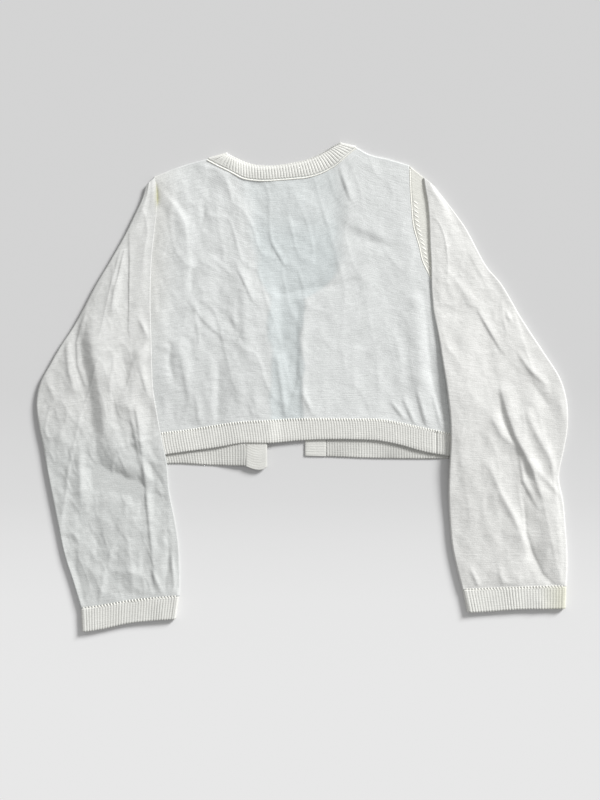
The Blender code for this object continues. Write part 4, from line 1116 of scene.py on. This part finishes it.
def start_material(name, roughness, sheen=0.0):
    """A new Principled material with its constants on the shader's own sockets."""
    material = bpy.data.materials.new(name)
    material.use_nodes = True
    shader = material.node_tree.nodes["Principled BSDF"]
    shader.inputs["Roughness"].default_value = roughness
    shader.inputs["Sheen Weight"].default_value = sheen
    shader.inputs["Sheen Roughness"].default_value = 0.6
    shader.inputs["Specular IOR Level"].default_value = 0.25 if sheen else 0.5
    return material, material.node_tree, shader


def knit_material(name, colour, wale, course, slub, relief, lean):
    """Combed cotton knit: the V stitches stand wale apart and course high, in millimetres.

    They give the cloth its fine grain; slub is how much the yarn's uneven thickness streaks it
    across, relief how deep the stitches are and lean how steep the V's legs are."""
    _, tree, shader = start_material(name, 0.95, 0.04)
    place = add(tree, "UVMap", uv_map="knit")
    parts = add(tree, "SeparateXYZ", {"Vector": place}).node.outputs
    wales = add(tree, "Math", {0: parts["X"], 1: wale}, operation="DIVIDE")
    inside = add(tree, "Math", {0: wales}, operation="FRACT")
    centred = add(tree, "Math", {0: inside, 1: 0.5}, operation="SUBTRACT")
    aside = add(tree, "Math", {0: centred}, operation="ABSOLUTE")
    courses = add(tree, "Math", {0: parts["Y"], 1: course}, operation="DIVIDE")
    leant = add(tree, "Math", {0: aside, 1: lean, 2: courses}, operation="MULTIPLY_ADD")
    loop = add(tree, "Math", {0: leant, 1: 1.0}, operation="PINGPONG")
    groove = add(tree, "Math", {0: aside, 1: 4.0}, operation="POWER")
    dip = add(tree, "Math", {0: groove, 1: -9.0, 2: loop}, operation="MULTIPLY_ADD")

    streaks = add(tree, "Mapping", {"Vector": place, "Scale": (0.11, 0.62, 1.0)})
    yarn = add(tree, "TexNoise", {"Vector": streaks, "Scale": 1.0, "Detail": 4.0, "Roughness": 0.7})
    fuzz = add(tree, "TexNoise", {"Vector": place, "Scale": 0.75, "Detail": 3.0, "Roughness": 0.75})
    cloud = add(tree, "TexNoise", {"Vector": place, "Scale": 0.06, "Detail": 4.0, "Roughness": 0.65})
    grain = add(tree, "Math", {0: yarn, 1: fuzz}, operation="ADD")
    light = add(tree, "MapRange", {"Value": grain, "From Min": 0.7, "From Max": 1.3,
                                   "To Min": 1.0 - slub, "To Max": 1.0 + slub})
    patch = add(tree, "MapRange", {"Value": cloud, "From Min": 0.3, "From Max": 0.7,
                                   "To Min": 0.945, "To Max": 1.035})
    even = add(tree, "Math", {0: light, 1: patch}, operation="MULTIPLY")

    # The pieces' tints: a cool painted shade; a yellow that is a real stain on the right cuff and painted
    # shade at the left armhole's tip and under the right sleeve's fold; and a darkening that is painted
    # shade on the back, the sleeves and the front ribs
    thin, warm, dim = (add(tree, "Attribute", out="Fac", attribute_name=tint)
                       for tint in ("thin", "warm", "dim"))
    shade = add(tree, "Math", {0: dim, 1: -0.12, 2: 1.0}, operation="MULTIPLY_ADD")
    bright = add(tree, "Math", {0: even, 1: shade}, operation="MULTIPLY")
    cool = blend_colours(tree, thin, colour, settings().cool_shade)
    stain_and_shade = blend_colours(tree, warm, cool, settings().stain_and_shade)
    tone = add(tree, "VectorMath", {0: stain_and_shade, "Scale": bright}, operation="SCALE")
    tree.links.new(tone, shader.inputs["Base Color"])

    rough = add(tree, "Bump", {"Strength": 0.55, "Distance": 0.00035, "Height": grain})
    stitch = add(tree, "Bump", {"Strength": 0.4, "Distance": relief * MM, "Height": dip, "Normal": rough})
    tree.links.new(stitch, shader.inputs["Normal"])


def thread_material():
    """Mercerised cotton sewing yarn: a little brighter and smoother than the knit round it."""
    _, tree, shader = start_material("cotton_linking_yarn", 0.75, 0.2)
    place = add(tree, "TexCoord", out="Object")
    twist = add(tree, "TexNoise", {"Vector": place, "Scale": 900.0, "Detail": 2.0})
    tone = blend_colours(tree, twist, linear("#eeede6"), linear("#f7f6ee"))
    tree.links.new(tone, shader.inputs["Base Color"])
    bump = add(tree, "Bump", {"Strength": 0.3, "Distance": 0.0001, "Height": twist})
    tree.links.new(bump, shader.inputs["Normal"])


def button_material():
    """Moulded polyester: cream, softly glossy, with faint cloudy swirls under the gloss."""
    _, tree, shader = start_material("moulded_polyester", 0.28)
    place = add(tree, "TexCoord", out="Object")
    swirl = add(tree, "TexNoise", {"Vector": place, "Scale": 260.0, "Detail": 3.0, "Distortion": 1.2})
    tone = blend_colours(tree, swirl, settings().button, linear("#f6f3e9"))
    tree.links.new(tone, shader.inputs["Base Color"])
    scuffs = add(tree, "TexNoise", {"Vector": place, "Scale": 1800.0, "Detail": 2.0})
    bump = add(tree, "Bump", {"Strength": 0.08, "Distance": 0.0001, "Height": scuffs})
    tree.links.new(bump, shader.inputs["Normal"])


def table_material():
    """Matt painted board: pale grey, lighter towards the near edge."""
    material, tree, shader = start_material("matt_painted_board", 0.95)
    shader.inputs["Specular IOR Level"].default_value = 0.0
    place = add(tree, "TexCoord", out="Object")
    down = add(tree, "SeparateXYZ", {"Vector": place}, "Y")
    share = add(tree, "MapRange", {"Value": down, "From Min": 0.0, "From Max": -0.26})
    tone = add(tree, "ValToRGB", {"Fac": share})
    stops = tone.node.color_ramp.elements
    stops[0].color, stops[1].color = (*settings().table_far, 1.0), (*settings().table_near, 1.0)
    for at, code in ((0.39, "#dadada"), (0.53, "#e0e0e0"), (0.6, "#e2e2e2"), (0.735, "#e5e5e5")):
        stops.new(at).color = (*linear(code), 1.0)
    tree.links.new(tone, shader.inputs["Base Color"])
    return material


def material_of(name):
    """One of the garment's materials; all five are made when the first is asked for."""
    if name not in bpy.data.materials:
        size = settings()
        wale, course = size.wale / MM, size.course / MM
        knit_material("combed_cotton_jersey", size.jersey, wale, course, 0.12, 0.07, 1.4)
        knit_material("combed_cotton_rib", size.rib, wale, course, 0.07, 0.14, 1.2)
        knit_material("combed_cotton_band", size.rib, wale * 8, 1.15, 0.05, 0.15, 0.0)
        thread_material()
        button_material()
    return bpy.data.materials[name]


def length_setting(name, description, default, low, high):
    """A length that a user would change, in metres."""
    return bpy.props.FloatProperty(
        name=name, description=description, default=default, min=low, max=high, unit="LENGTH")


def colour_setting(name, description, code):
    """A colour that a user would change, from its sRGB hex value."""
    return bpy.props.FloatVectorProperty(
        name=name, description=description, default=linear(code), size=3, min=0.0, max=1.0, subtype="COLOR")


class CardiganSizes(bpy.types.PropertyGroup):
    """Sizes and colours of the knit, and the light on it, that a user would change."""
    cloth_wall: length_setting("Cloth thickness", "Thickness of the plain knit", 0.0008, 0.0004, 0.002)
    rib_height: length_setting("Rib height", "How far each rib stands above the grooves",
                               0.00022, 0.0, 0.0015)
    crease_depth: bpy.props.FloatProperty(
        name="Crease depth", description="Depth of the creases against their tables", default=1.05,
        min=0.0, max=2.0, subtype="FACTOR")
    wale: length_setting("Wale", "Distance between two columns of stitches", 0.00125, 0.0005, 0.004)
    course: length_setting("Course", "Height of one row of stitches", 0.00095, 0.0005, 0.004)
    jersey: colour_setting("Plain knit", "Colour of the plain knit", "#e5e5e3")
    # A cool grey painted shade: on the back's single layer it stands for the floor's shade showing through,
    # on the left sleeve for shade; a little of it is the back's own cool tone
    cool_shade: colour_setting("Single layer", "Colour of the plain knit with no cloth beneath", "#d2d8d8")
    # Yellow for the right cuff's real stain, and painted shade at the left armhole's tip and on the strip
    # under the right sleeve's fold
    stain_and_shade: colour_setting("Aged knit", "Yellowed tone of shaded and older places", "#cfcda2")
    rib: colour_setting("Ribs and bands", "Colour of the ribs and front bands", "#dfdfda")
    button: colour_setting("Buttons", "Colour of the buttons", "#e2dfd2")
    table_far: colour_setting("Table, far", "Colour of the table behind the garment", "#d2d2d2")
    table_near: colour_setting("Table, near", "Colour of the table in front of the garment", "#e6e6e6")
    sun: bpy.props.FloatProperty(
        name="Key light", description="Strength of the key light", default=4.45, min=0.0, max=20.0)
    ambient: bpy.props.FloatProperty(
        name="Fill light", description="Strength of the even light from all round", default=0.42,
        min=0.0, max=4.0)


def settings():
    """The scene's cardigan settings."""
    return bpy.context.scene.cardigan


def declare(node):
    """Hide the imported solid that a cloth piece stands for."""
    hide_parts(node)


class CARDIGAN_OT_fronts(bpy.types.Operator):
    """Make both fronts, which lie on the table"""
    bl_idname = "cardigan.fronts"
    bl_label = "Fronts"

    def execute(self, context):
        made = material_of("combed_cotton_jersey")
        left, right = make_front(True, made), make_front(False, made)
        declare("front_left")
        declare("front_right")
        return {"FINISHED"}


class CARDIGAN_OT_front_ribs(bpy.types.Operator):
    """Make the fronts' two hem ribs"""
    bl_idname = "cardigan.front_ribs"
    bl_label = "Front hem ribs"

    def execute(self, context):
        made = material_of("combed_cotton_rib")
        left = make_hem_rib("front_left_rib", FRONT_HEM_LEFT, FRONT_HEM_LEFT_RIBS, False, made)
        right = make_hem_rib("front_right_rib", FRONT_HEM_RIGHT, FRONT_HEM_RIGHT_RIBS, False, made)
        declare("front_left_hem_rib")
        declare("front_right_hem_rib")
        return {"FINISHED"}


class CARDIGAN_OT_bands(bpy.types.Operator):
    """Make the two front bands, the left one raised on its buttons"""
    bl_idname = "cardigan.bands"
    bl_label = "Front bands"

    def execute(self, context):
        made = material_of("combed_cotton_band")
        left = make_band("button_band_knit", LEFT_BAND_X, NECK_FRONT_LEFT, LEFT_BAND_BOTTOM, 0.015, made)
        right = make_band("buttonhole_band_knit", RIGHT_BAND_X, NECK_FRONT_RIGHT, RIGHT_BAND_BOTTOM, 0.06,
                          made)
        declare("button_band")
        declare("buttonhole_band")
        return {"FINISHED"}


class CARDIGAN_OT_back(bpy.types.Operator):
    """Make the back, over the fronts"""
    bl_idname = "cardigan.back"
    bl_label = "Back"

    def execute(self, context):
        back = make_back(material_of("combed_cotton_jersey"))
        declare("back")
        return {"FINISHED"}


class CARDIGAN_OT_back_rib(bpy.types.Operator):
    """Make the back's hem rib"""
    bl_idname = "cardigan.back_rib"
    bl_label = "Back hem rib"

    def execute(self, context):
        rib = make_hem_rib("back_rib", BACK_HEM, BACK_HEM_RIBS, True, material_of("combed_cotton_rib"))
        declare("back_hem_rib")
        return {"FINISHED"}


class CARDIGAN_OT_neckband(bpy.types.Operator):
    """Make the neckband, which folds over both shoulders"""
    bl_idname = "cardigan.neckband"
    bl_label = "Neckband"

    def execute(self, context):
        band = make_neckband(material_of("combed_cotton_rib"))
        declare("neckband")
        return {"FINISHED"}


class CARDIGAN_OT_sleeves(bpy.types.Operator):
    """Make both sleeves"""
    bl_idname = "cardigan.sleeves"
    bl_label = "Sleeves"

    def execute(self, context):
        made = material_of("combed_cotton_jersey")
        left, right = make_sleeve(-1, made), make_sleeve(1, made)
        declare("sleeve_left")
        declare("sleeve_right")
        return {"FINISHED"}


class CARDIGAN_OT_cuffs(bpy.types.Operator):
    """Make both cuffs"""
    bl_idname = "cardigan.cuffs"
    bl_label = "Cuffs"

    def execute(self, context):
        made = material_of("combed_cotton_rib")
        left, right = make_cuff(-1, made), make_cuff(1, made)
        declare("cuff_left")
        declare("cuff_right")
        return {"FINISHED"}


class CARDIGAN_OT_seams(bpy.types.Operator):
    """Make the linking stitches and the armhole seams"""
    bl_idname = "cardigan.seams"
    bl_label = "Linking and seams"

    def execute(self, context):
        yarn = material_of("cotton_linking_yarn")
        make_linking(yarn)
        make_armhole_seams(yarn)
        return {"FINISHED"}


class CARDIGAN_OT_buttons(bpy.types.Operator):
    """Finish the five buttons under the left band"""
    bl_idname = "cardigan.buttons"
    bl_label = "Buttons"

    def execute(self, context):
        made = material_of("moulded_polyester")
        for number in range(1, 6):
            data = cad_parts[f"button_{number}"].data
            for slot in range(len(data.materials)):
                data.materials[slot] = made
        return {"FINISHED"}


class CARDIGAN_OT_stage(bpy.types.Operator):
    """Make the table, the lights and the camera straight above"""
    bl_idname = "cardigan.stage"
    bl_label = "Table, lights and camera"

    def execute(self, context):
        scene = context.scene
        data = bpy.data.meshes.new("table")
        corners = [(TABLE_REACH * x, TABLE_REACH * y, 0.0) for x, y in ((-1, -1), (1, -1), (1, 1), (-1, 1))]
        data.from_pydata(corners, [], [(0, 1, 2, 3)])
        table = bpy.data.objects.new("table", data)
        scene.collection.objects.link(table)
        data.materials.append(table_material())

        sun = bpy.data.lights.new("key", "SUN")
        sun.energy = settings().sun
        sun.angle = math.radians(18)
        lamp = bpy.data.objects.new("key", sun)
        lamp.rotation_euler = (math.radians(65), 0.0, math.radians(132))
        scene.collection.objects.link(lamp)

        world = bpy.data.worlds.new("studio")
        world.use_nodes = True
        glow = world.node_tree.nodes["Background"]
        glow.inputs["Color"].default_value = (1.0, 1.0, 1.0, 1.0)
        glow.inputs["Strength"].default_value = settings().ambient
        scene.world = world
        scene.view_settings.view_transform = "Standard"

        lens = bpy.data.cameras.new("photo")
        lens.lens = 60.0
        lens.sensor_width = 36.0
        camera = bpy.data.objects.new("photo", lens)
        camera.location = CAMERA_PLACE
        scene.collection.objects.link(camera)
        scene.camera = camera
        return {"FINISHED"}


OPERATORS = (
    CARDIGAN_OT_stage, CARDIGAN_OT_fronts, CARDIGAN_OT_front_ribs, CARDIGAN_OT_bands, CARDIGAN_OT_buttons,
    CARDIGAN_OT_back, CARDIGAN_OT_back_rib, CARDIGAN_OT_neckband, CARDIGAN_OT_sleeves, CARDIGAN_OT_cuffs,
    CARDIGAN_OT_seams,
)


class CARDIGAN_PT_panel(bpy.types.Panel):
    """The cardigan's pieces and sizes"""
    bl_idname = "CARDIGAN_PT_panel"
    bl_label = "Cardigan"
    bl_space_type = "VIEW_3D"
    bl_region_type = "UI"
    bl_category = "Cardigan"

    def draw(self, context):
        for name in CardiganSizes.__annotations__:
            self.layout.prop(context.scene.cardigan, name)
        for operator in OPERATORS:
            self.layout.operator(operator.bl_idname)


def register():
    """Register the settings, the operators and the panel."""
    for kind in (CardiganSizes, *OPERATORS, CARDIGAN_PT_panel):
        bpy.utils.register_class(kind)
    bpy.types.Scene.cardigan = bpy.props.PointerProperty(type=CardiganSizes)


def unregister():
    """Take them out again."""
    del bpy.types.Scene.cardigan
    for kind in reversed((CardiganSizes, *OPERATORS, CARDIGAN_PT_panel)):
        bpy.utils.unregister_class(kind)


def main():
    """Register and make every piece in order."""
    register()
    for operator in OPERATORS:
        group, name = operator.bl_idname.split(".")
        getattr(getattr(bpy.ops, group), name)()


if __name__ == "__main__":
    main()
